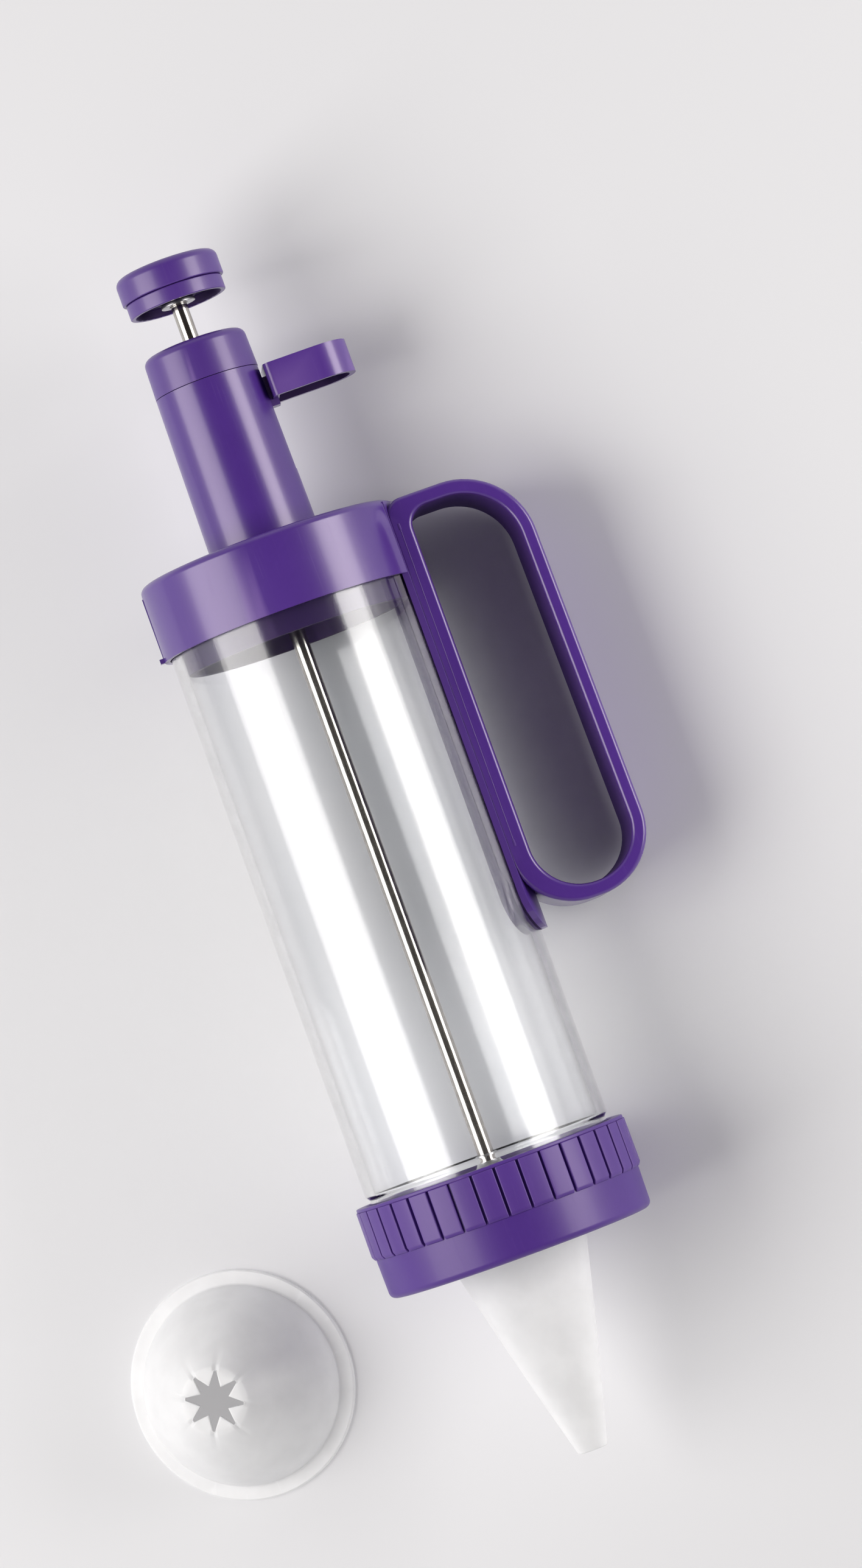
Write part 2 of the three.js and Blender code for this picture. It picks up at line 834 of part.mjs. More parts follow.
// The lower part of the knob: a cup, open below, with a hub and a thin lip round its rim
function knobBase() {
  return turned([
    [baseR - knobWall, knobLow],
    [baseR, knobLow],
    [baseR, knobLow + knobLip],
    [baseR - gap, knobLow + knobLip],
    [baseR - gap, baseTop],
    [rodHoleR, baseTop],
    [rodHoleR, knobHubLow],
    [knobHubR, knobHubLow],
    [knobHubR, baseUnder],
    [baseR - knobWall - gap, baseUnder],
    [baseR - knobWall - gap, knobLow + knobLip],
  ], neckSegments);
}

// The cover over the knob, hollow in the middle for the head of the screw
function knobCover() {
  const hollowR = screwHeadR + overrun;
  const hollowTop = coverLow + screwHead + 2 * gap;
  return turned([
    [hollowR, coverLow],
    [knobR, coverLow],
    ...arc(knobR - knobRound, knobTop - knobRound, knobRound, 0, 90),
    [0, knobTop],
    [0, hollowTop],
    [hollowR, hollowTop],
  ], neckSegments);
}

function knobWasher() {
  const top = knobHubLow - gap;
  return tube(knobWasherR, rodHoleR, top - knobWasherThick, top, smallSegments);
}

// The pieces of the tool, drawn upright
const loop = piece('handle_loop', handleLoop(), purple);
const upright = new THREE.Group();
upright.add(
  piece('head_moulding', headMoulding(), darkPurple),
  loop,
  piece('neck_cap', neckCap(), purple),
  piece('thumb_lever', thumbLever(), purple),
  piece('lever_carriage', leverCarriage(), darkPurple),
  piece('grip_plate', gripPlate(), springSteel),
  piece('spring_washer', springWasher(), zinc),
  piece('return_spring', returnSpring(), springSteel),
  piece('plunger_rod', plungerRod(), polished),
  piece('piston_body', pistonBody(), white),
  piece('piston_seal', pistonSeal(), rubber),
  piece('piston_foot', pistonFoot(), zinc),
  piece('piston_screw', screw(hubLow - gap - screwHead, hubLow - gap, rodLow + screwDepth - gap), zinc),
  piece('knob_base', knobBase(), darkPurple),
  piece('knob_cover', knobCover(), purple),
  piece('knob_washer', knobWasher(), zinc),
  piece('knob_screw', screw(baseTop + gap + screwHead, baseTop + gap, rodTop - screwDepth + gap), zinc),
  piece('barrel', barrel(), clear),
  piece('locking_ring', lockingRing(), purple),
  piece('nozzle', roundNozzle(), white),
);

// How far the tool leans toward its knob end, resting on the rims of the ring and the cap
const leanSlope = (padR - capR) / (capTop - capRound - ringTop);

// How far the tool rolls before the loop meets the table: the first corner of it to get there
function restingRoll() {
  const places = loop.geometry.attributes.position;
  let least = Infinity;
  for (let i = 0; i < places.count; i += 1) {
    const reach = Math.hypot(places.getX(i), places.getY(i));
    const height = padR - leanSlope * (places.getZ(i) - ringTop);
    if (reach <= height) continue;
    const turn = Math.asin(height / reach) - Math.atan2(places.getY(i), places.getX(i));
    least = Math.min(least, turn);
  }
  return least;
}

// The tool on its side: tip toward +X, handle toward +Y and rolled down onto the table
const roll = restingRoll();
upright.setRotationFromMatrix(new THREE.Matrix4().makeBasis(
  new THREE.Vector3(0, Math.cos(roll), -Math.sin(roll)),
  new THREE.Vector3(0, -Math.sin(roll), -Math.cos(roll)),
  new THREE.Vector3(-1, 0, 0),
));
const lying = new THREE.Group();
lying.add(upright);
lying.rotation.y = -Math.atan(leanSlope);

// The spare nozzle stands on the same table, beside the tip end
const syringe = new THREE.Group();
syringe.add(lying);
const table = new THREE.Box3().setFromObject(syringe, true).min.z;
const spare = piece('star_nozzle', starNozzle(), white);
spare.position.set(nozzlePast - coneLength, -nozzleAside, table);
syringe.add(spare);

// The origin is the middle of the underside
const box = new THREE.Box3().setFromObject(syringe, true);
const middle = box.getCenter(new THREE.Vector3());
syringe.position.set(-middle.x, -middle.y, -box.min.z);

export default syringe;
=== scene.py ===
# %% [markdown]
# A cake decorating syringe, dressed for a photograph.
# The moving model comes from CAD and is loaded as a fixed frame. Every smooth piece made below takes
# the place of one of its plainer solids and moves with the same body.

# %% Load the frame
import json
import math

import bmesh
import bpy
from mathutils import Matrix, Vector


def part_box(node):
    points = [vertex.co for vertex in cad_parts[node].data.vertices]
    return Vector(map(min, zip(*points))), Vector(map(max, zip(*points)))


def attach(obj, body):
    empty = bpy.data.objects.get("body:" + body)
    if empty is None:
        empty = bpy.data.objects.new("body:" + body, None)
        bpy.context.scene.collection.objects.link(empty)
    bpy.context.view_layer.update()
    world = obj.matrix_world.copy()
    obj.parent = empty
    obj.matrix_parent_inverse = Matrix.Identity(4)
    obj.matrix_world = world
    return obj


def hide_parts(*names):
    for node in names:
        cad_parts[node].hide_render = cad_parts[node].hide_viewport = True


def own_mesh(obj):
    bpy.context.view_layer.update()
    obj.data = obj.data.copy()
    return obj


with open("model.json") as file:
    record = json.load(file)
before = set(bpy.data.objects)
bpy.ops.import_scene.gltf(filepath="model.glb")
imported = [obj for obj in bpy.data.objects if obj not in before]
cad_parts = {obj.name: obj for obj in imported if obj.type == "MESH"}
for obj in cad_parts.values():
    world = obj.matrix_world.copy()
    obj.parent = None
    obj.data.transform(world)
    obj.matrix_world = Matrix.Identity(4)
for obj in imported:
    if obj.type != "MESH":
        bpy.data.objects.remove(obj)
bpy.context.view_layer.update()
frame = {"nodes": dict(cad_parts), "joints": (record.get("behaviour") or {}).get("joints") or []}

# %% [markdown]
# The tool lies on its side and leans, which would make every sum awkward. It is easier to build it
# standing up, tip down on the origin, in millimetres, as a maker would draw it. The joints of the
# model say how the real one lies, so one matrix built from them lays each finished piece down.

# %% Lay the upright tool down
MM = 0.001
joints = {joint["name"]: joint for joint in frame["joints"]}
z_way = Vector(joints["plunger_slide"]["axis"]).normalized()
y_way = Vector(joints["grip_tilt"]["axis"]).normalized()
x_way = y_way.cross(z_way)
ring_middle = 63.0
tip = Vector(joints["ring_unscrew"]["pos_m"]) - z_way * ring_middle * MM
turn = Matrix((x_way, y_way, z_way)).transposed().to_4x4()
lay_down = Matrix.Translation(tip) @ turn @ Matrix.Scale(MM, 4)
print("tip of the tool at", [round(value, 4) for value in tip])

# %% [markdown]
# Most pieces are turned: a section is drawn at one side of the axis and spun round it. A corner of
# the section may carry a rounding, which is bevelled while the section is still flat, because that
# gives an even arc and costs nothing. The full turn needs use_merge to close its seam.

# %% Spin a section round the axis
ROUND_STEPS = 128
MEDIUM_STEPS = 96
SMALL_STEPS = 48
ARC_PARTS = 6
CLOSE = 0.0005


def section_face(bm, corners, across=lambda r, z: (r, 0, z), parts=ARC_PARTS):
    """Draws one flat face. A corner's third number, where it has one, is its rounding."""
    verts = [bm.verts.new(across(*corner[:2])) for corner in corners]
    bm.faces.new(verts)
    for vert, corner in zip(verts, corners):
        if len(corner) > 2:
            bmesh.ops.bevel(bm, geom=[vert], offset=corner[2], affect="VERTICES",
                            segments=parts, profile=0.5, material=-1)


def spin_section(bm, corners, steps=ROUND_STEPS):
    """Spins one closed section of (radius, height, rounding) corners into a solid of its own."""
    part = bmesh.new()
    section_face(part, corners)
    bmesh.ops.delete(part, geom=part.faces[:], context="FACES_ONLY")
    on_axis = [e for e in part.edges if all(abs(v.co.x) < CLOSE for v in e.verts)]
    if on_axis:
        bmesh.ops.delete(part, geom=on_axis, context="EDGES")
    bmesh.ops.spin(part, geom=part.verts[:] + part.edges[:], cent=(0, 0, 0), axis=(0, 0, 1),
                   angle=math.tau, steps=steps, use_merge=True)
    bmesh.ops.remove_doubles(part, verts=part.verts, dist=CLOSE)
    bmesh.ops.recalc_face_normals(part, faces=part.faces)
    add_part(bm, part)


def add_part(bm, part):
    """Moves a part's mesh into another bmesh."""
    mesh = bpy.data.meshes.new("part")
    part.to_mesh(mesh)
    part.free()
    bm.from_mesh(mesh)
    bpy.data.meshes.remove(mesh)


# %% [markdown]
# Moulded plastic has no knife edges. A Bevel modifier rounds what is left sharp by an amount that
# suits each piece, and Weighted Normal keeps the wide faces flat in the light. Faces that look
# into a hollow can take a second finish, duller and with painted shade in its darker colour: a test
# on their middle and normal picks them. A face counts as looking along an axis when more than half
# of its normal points that way.

# %% Finish a piece
EDGE_ANGLE = math.radians(32)
FACING = 0.5


def finish_piece(name, bm, material, body, stands_for, edge=0.3, segments=3,
                 place=lay_down, inner=None, inside=lambda at, way: False):
    """Lays a piece down, rounds its edges, gives it its finishes, hangs it on its body and hides the
    CAD parts that it stands for.
    """
    bm.normal_update()
    for face in bm.faces:
        face.smooth = True
        face.material_index = int(inside(face.calc_center_median(), face.normal))
    bmesh.ops.transform(bm, matrix=place, verts=bm.verts)
    mesh = bpy.data.meshes.new(name)
    bm.to_mesh(mesh)
    bm.free()
    piece = bpy.data.objects.new(name, mesh)
    bpy.context.scene.collection.objects.link(piece)
    # The second finish, for faces inside, carries painted shade where one is given.
    for finish in (material, inner or material):
        mesh.materials.append(finish)
    if edge:
        rounding = piece.modifiers.new("edges", "BEVEL")
        rounding.width = edge * MM
        rounding.segments = segments
        rounding.limit_method = "ANGLE"
        rounding.angle_limit = EDGE_ANGLE
        rounding.miter_outer = "MITER_ARC"
    shade = piece.modifiers.new("shade", "WEIGHTED_NORMAL")
    shade.keep_sharp = False
    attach(piece, body)
    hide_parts(*stands_for)
    print(f"{name}: {len(mesh.polygons)} faces")
    return piece


# %% [markdown]
# A material is written as sums. A small class wraps one output of a node, so that
# mask * 0.3 + grain reads as it would on paper and adds the Math nodes by itself.

# %% Sums with sockets
POINTED_LOW, POINTED_HIGH = 0.52, 0.60


class Wire:
    """One output of a node, which can be added, multiplied and subtracted."""

    def __init__(self, paint, socket):
        self.paint, self.socket = paint, socket

    def math(self, operation, *others):
        return self.paint.node("ShaderNodeMath", {"operation": operation},
                               dict(enumerate((self, *others))))

    def __add__(self, other):
        return self.math("ADD", other)

    __radd__ = __add__

    def __mul__(self, other):
        return self.math("MULTIPLY", other)

    __rmul__ = __mul__

    def __sub__(self, other):
        return self.math("SUBTRACT", other)

    def __rsub__(self, other):
        return self.paint.node("ShaderNodeMath", {"operation": "SUBTRACT"}, {0: other, 1: self})

    def clamp(self, low, high):
        """0 up to low, 1 from high on, and an even ramp between them."""
        return self.paint.node("ShaderNodeMapRange", {"clamp": True},
                               {0: self, 1: low, 2: high, 3: 0.0, 4: 1.0})


class Paint:
    """Nodes of a material or a world, with one method that adds any node."""

    def __init__(self, owner, output="ShaderNodeOutputMaterial", place="Object"):
        self.owner = owner
        owner.use_nodes = True
        self.tree = owner.node_tree
        self.tree.nodes.clear()
        self.output = self.tree.nodes.new(output)
        self.place = self.node("ShaderNodeTexCoord", out=place)

    def node(self, kind, settings=None, values=None, out=0):
        """Adds a node, makes its settings, and then gives each input a value or a link."""
        node = self.tree.nodes.new(kind)
        for key, value in (settings or {}).items():
            setattr(node, key, value)
        for key, value in (values or {}).items():
            if isinstance(value, Wire):
                self.tree.links.new(value.socket, node.inputs[key])
            else:
                node.inputs[key].default_value = value
        return Wire(self, node.outputs[out])

    def along(self, long, across):
        """Object coordinates in millimetres, divided by a length along X and one across it."""
        scale = (1 / (long * MM), 1 / (across * MM), 1 / (across * MM))
        return self.node("ShaderNodeMapping", None, {"Vector": self.place, "Scale": scale})

    def noise(self, size, detail=3.0, stretch=1.0):
        """Patches of a size in millimetres, drawn out along X by a stretch."""
        vector = self.along(size * stretch, size)
        return self.node("ShaderNodeTexNoise", None, {"Vector": vector, "Scale": 1.0, "Detail": detail})

    def mix(self, share, low, high):
        """Blends two colours, which are inputs 6 and 7 and output 2 of a Mix node."""
        return self.node("ShaderNodeMix", {"data_type": "RGBA"}, {0: share, 6: low, 7: high}, out=2)

    def worn(self):
        """1 on outward edges, from how pointed the surface is there."""
        pointed = self.node("ShaderNodeNewGeometry", out="Pointiness")
        return pointed.clamp(POINTED_LOW, POINTED_HIGH)

    def bump(self, height, distance, strength, below=None):
        """A relief of so many millimetres, laid over another one if there is one below."""
        values = {"Height": height, "Distance": distance * MM, "Strength": strength}
        if below:
            values["Normal"] = below
        return self.node("ShaderNodeBump", None, values)

    def give(self, shader):
        """Links the shader to the output and hands back the material."""
        self.tree.links.new(shader.socket, self.output.inputs["Surface"])
        return self.owner

    def let_light_through(self, shader, share):
        """For shadows alone, the surface dims light instead of stopping it."""
        open_way = self.node("ShaderNodeBsdfTransparent", None, {"Color": share})
        shade_ray = self.node("ShaderNodeLightPath", out="Is Shadow Ray")
        mixed = self.node("ShaderNodeMixShader", None, {0: shade_ray, 1: shader, 2: open_way})
        return self.give(mixed)

    def surface(self, values):
        return self.give(self.node("ShaderNodeBsdfPrincipled", None, values))


# %% [markdown]
# The mouldings are polypropylene in one strong purple: glossy enough to show the windows as broad
# soft bands, with a faint cloudiness in the colour, hairline scuffs along the length, and edges
# that have rubbed a little paler and duller. The ring, the knob and the neck cap came from moulds
# with a finer satin face. Faces inside the loop and in the hollows are rougher, as moulds aren't
# polished there, and they carry painted shade: a deeper purple on the loop's inner wall and a
# near-black purple in the hollows.

# %% Purple plastic
PURPLE = (0.082, 0.027, 0.258)
DARK_PURPLE = (0.077, 0.026, 0.245)
# Painted shade: the loop's inner wall is given a darker purple than the moulding.
WALL_PAINTED_SHADE = (0.070, 0.026, 0.185)
# Painted shade: the hollows are given a near-black purple.
HOLLOW_PAINTED_SHADE = (0.030, 0.012, 0.080)
RUBBED_PURPLE = (0.25, 0.14, 0.44, 1)
# The rubbed edges in the hollows are darkened by the same painted shade.
RUBBED_IN_PAINTED_SHADE = (0.10, 0.06, 0.18, 1)
MIRROR_TINT = (1.0, 0.90, 0.97, 1)
PLASTIC_IOR = 1.49
COAT_DULL = 0.16


def shaded(colour, share=1.0):
    """A colour at a share of its brightness, with the fourth number that a socket wants."""
    return (*(share * part for part in colour), 1)


def moulded(name, colour, dull, gloss=0.75, coat=0.35, edge_wear_and_shade=RUBBED_PURPLE):
    paint = Paint(bpy.data.materials.new(name))
    cloud = paint.noise(size=22, detail=2.0)
    speck = paint.noise(size=1.2, detail=4.0)
    hair = paint.noise(size=0.35, detail=2.0, stretch=40).clamp(low=0.60, high=0.78)
    skin = paint.noise(size=0.55)
    edge = paint.worn()
    tone = (cloud * 0.7 + speck * 0.3).clamp(low=0.35, high=0.65)
    base = paint.mix(tone, shaded(colour, 0.9), shaded(colour))
    base = paint.mix(edge * 0.35 + hair * 0.05, base, edge_wear_and_shade)
    rough = cloud * 0.05 + hair * 0.09 + edge * 0.10 + (dull - 0.03)
    swell = paint.bump(cloud, distance=0.04, strength=0.35)
    grain = paint.bump(skin * 0.6 + speck * 0.4, distance=0.012, strength=0.25, below=swell)
    fine = paint.bump(1 - hair, distance=0.010, strength=0.25, below=grain)
    return paint.surface({
        "Base Color": base, "Roughness": rough, "Normal": fine, "IOR": PLASTIC_IOR,
        "Specular IOR Level": gloss, "Specular Tint": MIRROR_TINT,
        "Coat Weight": coat, "Coat Roughness": COAT_DULL})


purple = moulded("purple_plastic", PURPLE, dull=0.29)
dark_purple = moulded("dark_purple_plastic", DARK_PURPLE, dull=0.31)
satin_purple = moulded("purple_satin", DARK_PURPLE, dull=0.42, gloss=0.54, coat=0.10)
crown_purple = moulded("purple_crown", DARK_PURPLE, dull=0.38, gloss=0.85, coat=0.22)
# The next two finishes carry painted shade in their darker colours.
wall_painted_shade = moulded("purple_inner_wall_painted_shade", WALL_PAINTED_SHADE, dull=0.55, gloss=0.30, coat=0.0)
hollow_painted_shade = moulded("purple_hollow_painted_shade", HOLLOW_PAINTED_SHADE, dull=0.60, gloss=0.20, coat=0.0,
                        edge_wear_and_shade=RUBBED_IN_PAINTED_SHADE)
print("deepest and brightest purple:", HOLLOW_PAINTED_SHADE, PURPLE)

# %% [markdown]
# The nozzles and the piston are natural white plastic with a satin face. Milky plastic lets light
# in a little way, so a touch of subsurface scattering keeps their shaded sides from going grey.

# %% White plastic and the seal
WHITE = (0.87, 0.872, 0.88)
SEAL_WHITE = (0.80, 0.80, 0.78)
RUBBED_WHITE = (0.95, 0.95, 0.96, 1)
MILK_SPREAD = (1.0, 0.97, 0.95)


def milky(name, colour, dull, depth, glow):
    """Light goes in by a depth in millimetres, and glow is the share that comes through."""
    paint = Paint(bpy.data.materials.new(name))
    cloud = paint.noise(size=9)
    skin = paint.noise(size=0.6)
    hair = paint.noise(size=0.3, detail=2.0, stretch=30).clamp(low=0.62, high=0.8)
    base = paint.mix(cloud.clamp(low=0.35, high=0.65), shaded(colour, 0.94), shaded(colour))
    base = paint.mix(paint.worn() * 0.3, base, RUBBED_WHITE)
    rough = cloud * 0.08 + hair * 0.1 + (dull - 0.04)
    grain = paint.bump(skin, distance=0.010, strength=0.25)
    milk = paint.node("ShaderNodeBsdfPrincipled", None, {
        "Base Color": base, "Roughness": rough, "Normal": grain, "IOR": PLASTIC_IOR,
        "Subsurface Weight": 0.6, "Subsurface Scale": depth * MM, "Subsurface Radius": MILK_SPREAD})
    return paint.let_light_through(milk, (glow, glow, glow, 1))


white = milky("white_plastic", WHITE, dull=0.36, depth=2.2, glow=0.66)
rubber = milky("seal_rubber", SEAL_WHITE, dull=0.55, depth=1.0, glow=0.30)
print("finishes that light goes into:", white.name, rubber.name)


# %% [markdown]
# The barrel is clear styrene. A real glass shader bends the light through its two walls, which
# draws the dark and bright lines along the sides. Handling leaves faint streaks and smears, and
# those belong in the roughness and the bump, since clear plastic has hardly any colour of its own.

# %% Clear plastic
CLEAR, CLEAREST = (0.955, 0.965, 0.975, 1), (0.975, 0.98, 0.985, 1)
CLEAR_MIRROR = (0.4, 0.4, 0.4, 1)
CLEAR_SHADE = (0.60, 0.605, 0.61, 1)


def clear_plastic(name):
    paint = Paint(bpy.data.materials.new(name))
    smear = paint.noise(size=14, stretch=2.5)
    hair = paint.noise(size=0.4, detail=2.0, stretch=50).clamp(low=0.64, high=0.8)
    tint = paint.mix(smear.clamp(low=0.4, high=0.7), CLEAR, CLEAREST)
    rough = smear.clamp(low=0.5, high=0.75) * 0.03 + hair * 0.08 + 0.012
    scratch = paint.bump(1 - hair, distance=0.002, strength=0.2)
    glassy = paint.node("ShaderNodeBsdfPrincipled", None, {
        "Base Color": tint, "Roughness": rough, "Normal": scratch, "IOR": PLASTIC_IOR,
        "Transmission Weight": 1.0, "Specular Tint": CLEAR_MIRROR,
        "Coat Weight": 1.0, "Coat Roughness": 0.15})
    return paint.let_light_through(glassy, CLEAR_SHADE)


clear = clear_plastic("clear_plastic")
print("share of light in the barrel's shadow:", CLEAR_SHADE[:3])


# %% [markdown]
# Three bright metals: the polished rod, the plated washers and screws, and the spring steel. All
# are fully metallic. The rod has faint drawing lines along it, the plated parts a fine mottle, and
# all have a few dull spots.

# %% Metals
ROD_METAL = (0.60, 0.57, 0.53)
PLATED_METAL = (0.50, 0.50, 0.51)
SPRING_METAL = (0.55, 0.56, 0.58)
SPOT = (0.30, 0.26, 0.21, 1)


def bright_metal(name, colour, dull, stretch, grain):
    paint = Paint(bpy.data.materials.new(name))
    lines = paint.noise(size=0.25, stretch=stretch)
    mottle = paint.noise(size=3.0, detail=4.0)
    spots = paint.noise(size=0.9).clamp(low=0.68, high=0.76)
    edge = paint.worn()
    base = paint.mix(mottle.clamp(low=0.35, high=0.65), shaded(colour, 0.86), shaded(colour))
    base = paint.mix(spots * 0.35, base, SPOT)
    rough = mottle * 0.06 + lines * 0.05 + spots * 0.12 + edge * 0.05 + (dull - 0.05)
    drawn = paint.bump(lines, distance=grain, strength=0.3)
    return paint.surface({"Base Color": base, "Roughness": rough, "Normal": drawn, "Metallic": 1.0})


polished = bright_metal("polished_rod", ROD_METAL, dull=0.12, stretch=60, grain=0.003)
plated = bright_metal("plated_steel", PLATED_METAL, dull=0.30, stretch=1, grain=0.008)
spring_steel = bright_metal("spring_steel", SPRING_METAL, dull=0.28, stretch=8, grain=0.008)
print("metals:", polished.name, plated.name, spring_steel.name)

# %% [markdown]
# Heights up the tool and radii, in millimetres, the same as on the maker's drawing. Pieces that
# meet share a value here, so that one change moves them both.

# %% Sizes of the tool
ring_low, ring_top, shoulder = 51.4, 75.0, 77.0
cap_low, cap_top, cap_under = 217.9, 237.2, 234.2
seam, neck_cap_top = 279.8, 290.4
knob_low, cover_low, knob_top = 300.8, 304.6, 311.4
gap = 0.3
bore_r, barrel_r, barrel_neck_r = 29.15, 31.65, 30.85
cap_bore_r, cap_r = 31.95, 33.3
neck_base_r, neck_top_r, neck_bore_r = 14.0, 13.4, 11.2
rod_r, rod_hole_r = 2.1, 2.4
print("length from tip to knob:", knob_top, "mm, barrel", 2 * barrel_r, "mm across")

# %% [markdown]
# The head is one moulding: the cap over the barrel, the thin skirt inside it, the tall neck and a
# saddle that runs down the barrel behind the finger loop. The cap and neck are spun in one go. The
# slot for the lever is cut with planes: bisect the near side of the neck where the slot's sides
# are, drop the faces between them, and bridge the two rims left open in the outer and inner wall.

# %% Cap and neck
slot_low, slot_half = 252.5, 2.7
slot_near, slot_far, slot_split = neck_bore_r * 0.9, neck_base_r + 1, (neck_bore_r + neck_top_r) / 2
skirt_r, skirt_wall, skirt_low = 28.75, 2.0, 212.5
cap_taper, cap_round, above_cap = 0.1, 1.8, 0.5
head = bmesh.new()
spin_section(head, [
    (cap_bore_r, cap_low), (cap_r, cap_low), (cap_r - cap_taper, cap_top, cap_round),
    (neck_base_r, cap_top), (neck_top_r, seam), (neck_bore_r, seam), (neck_bore_r, cap_top),
    (rod_hole_r, cap_top), (rod_hole_r, cap_under), (skirt_r - skirt_wall, cap_under),
    (skirt_r - skirt_wall, skirt_low), (skirt_r, skirt_low), (skirt_r, cap_under),
    (cap_bore_r, cap_under),
])


def neck_side():
    """The neck's faces on the lever's side, with their edges and corners."""
    middles = [(face, face.calc_center_median()) for face in head.faces]
    walls = [face for face, middle in middles if middle.x > 0 and middle.z > cap_top + above_cap]
    edges = {edge for face in walls for edge in face.edges}
    return list({vert for face in walls for vert in face.verts}) + list(edges) + walls


for spot, way in (((0, slot_half, 0), (0, 1, 0)), ((0, -slot_half, 0), (0, 1, 0)),
                  ((0, 0, slot_low), (0, 0, 1))):
    bmesh.ops.bisect_plane(head, geom=neck_side(), plane_co=spot, plane_no=way, dist=CLOSE)


def in_slot(face):
    middle = face.calc_center_median()
    return slot_near < middle.x < slot_far and abs(middle.y) < slot_half and middle.z > slot_low


bmesh.ops.delete(head, geom=[face for face in head.faces if in_slot(face)], context="FACES")


def rim(keep):
    """Open edges, if the distances of both their ends from the axis pass the test."""
    left_open = [edge for edge in head.edges if edge.is_boundary]
    return [edge for edge in left_open if all(keep(vert.co.xy.length) for vert in edge.verts)]


outer_rim, inner_rim = rim(lambda r: r > slot_split), rim(lambda r: r < slot_split)
bmesh.ops.bridge_loops(head, edges=outer_rim + inner_rim)
print("edges round the slot:", len(outer_rim), "outside,", len(inner_rim), "inside,",
      sum(edge.is_boundary for edge in head.edges), "left open")


# %% [markdown]
# The saddle is a tongue of sheet wrapped on the barrel. It starts flat, as a face with rounded
# lower corners that is cut into strips, is thickened, and is then wrapped by moving each vertex
# onto its circle. Two blocks on the far side of the cap are a thin rib and the hook at its foot.

# %% Saddle, rib and foot
def everything(bm):
    return bm.verts[:] + bm.edges[:] + bm.faces[:]


def fill_strips(bm, width, step):
    """Cuts a flat shape across, every so many millimetres, so that it can be bent."""
    spot = -width / 2 + step
    while spot < width / 2:
        bmesh.ops.bisect_plane(bm, geom=everything(bm), plane_co=(0, spot, 0), plane_no=(0, 1, 0),
                               dist=CLOSE)
        spot += step


def push(bm, faces, way, keep=False):
    """Extrudes faces and moves the new ones by a vector."""
    grown = bmesh.ops.extrude_face_region(bm, geom=faces, use_keep_orig=keep)["geom"]
    lifted = [item for item in grown if isinstance(item, bmesh.types.BMVert)]
    bmesh.ops.translate(bm, verts=lifted, vec=way)


def wrap(bm, inner, outer):
    """Bends a sheet that stands from x = 0 to x = 1 round the axis."""
    for vert in bm.verts:
        radius = outer if vert.co.x > 0.5 else inner
        vert.co.x = math.sqrt(radius * radius - vert.co.y * vert.co.y)


saddle_width, saddle_top, tongue_low, tongue_round, strip = 30.0, 236.3, 124.5, 10, 1.5
proud = 0.12
tongue = bmesh.new()
half = saddle_width / 2
section_face(tongue, [(-half, tongue_low, tongue_round), (half, tongue_low, tongue_round),
                      (half, saddle_top), (-half, saddle_top)], across=lambda y, z: (0, y, z))
fill_strips(tongue, saddle_width, strip)
push(tongue, tongue.faces[:], (1, 0, 0))
wrap(tongue, cap_bore_r + 0.05, cap_r + proud)
bmesh.ops.recalc_face_normals(tongue, faces=tongue.faces)
add_part(head, tongue)


def add_block(bm, low, high):
    """A box between two corners."""
    part = bmesh.new()
    bmesh.ops.create_cube(part, size=1)
    size = [b - a for a, b in zip(low, high)]
    middle = [(a + b) / 2 for a, b in zip(low, high)]
    bmesh.ops.scale(part, vec=size, verts=part.verts)
    bmesh.ops.translate(part, vec=middle, verts=part.verts)
    add_part(bm, part)


rib_half, rib_short, hook_half, hook_out, hook_height = 0.45, 2.6, 1.2, 1.1, 1.2
block_root = -cap_bore_r - 0.5
add_block(head, (-cap_r - proud, -rib_half, cap_low), (block_root, rib_half, cap_top - rib_short))
add_block(head, (-cap_r - hook_out, -hook_half, cap_low),
          (block_root, hook_half, cap_low + hook_height))


# These faces get the hollow finish, whose near-black purple is painted shade.
def under_cap(at, way):
    """Faces of the cap's underside and of the skirt."""
    return at.z < cap_under + 0.2 and at.xy.length < cap_bore_r + 0.1


finish_piece("head", head, dark_purple, "head", ["head_moulding"], edge=0.35,
             inner=hollow_painted_shade, inside=under_cap)

# %% [markdown]
# The finger loop is a deep band bent into a long rounded frame. Two outlines with matching corners
# are bridged into a ring of faces, and that ring is extruded to the band's depth. Its long rims are
# bevelled here and not by the modifier, which would hold the rounding back at the tight corners.
# The band is then cut into strips, so that the back of its spine can follow the round saddle.

# %% Finger loop
loop_top, loop_low, loop_band, loop_depth = 236.0, 127.3, 3.7, 29.4
spine_face, spine_back, top_far, low_far = 34.8, 29.2, 59.3, 60.65
spine_round, low_round, far_round, rim_round = 4.9, 16.4, 18.4, 1.1
seat_r, arc_steps, rim_steps, loop_strips, sideways = 33.4, 16, 5, 14, 0.9
loop_middle = Vector(((spine_face + low_far) / 2, 0, (loop_top + loop_low) / 2))
loop = bmesh.new()


def loop_edges(corners):
    part = bmesh.new()
    section_face(part, corners, across=lambda x, z: (x, -loop_depth / 2, z), parts=arc_steps)
    bmesh.ops.delete(part, geom=part.faces[:], context="FACES_ONLY")
    add_part(loop, part)


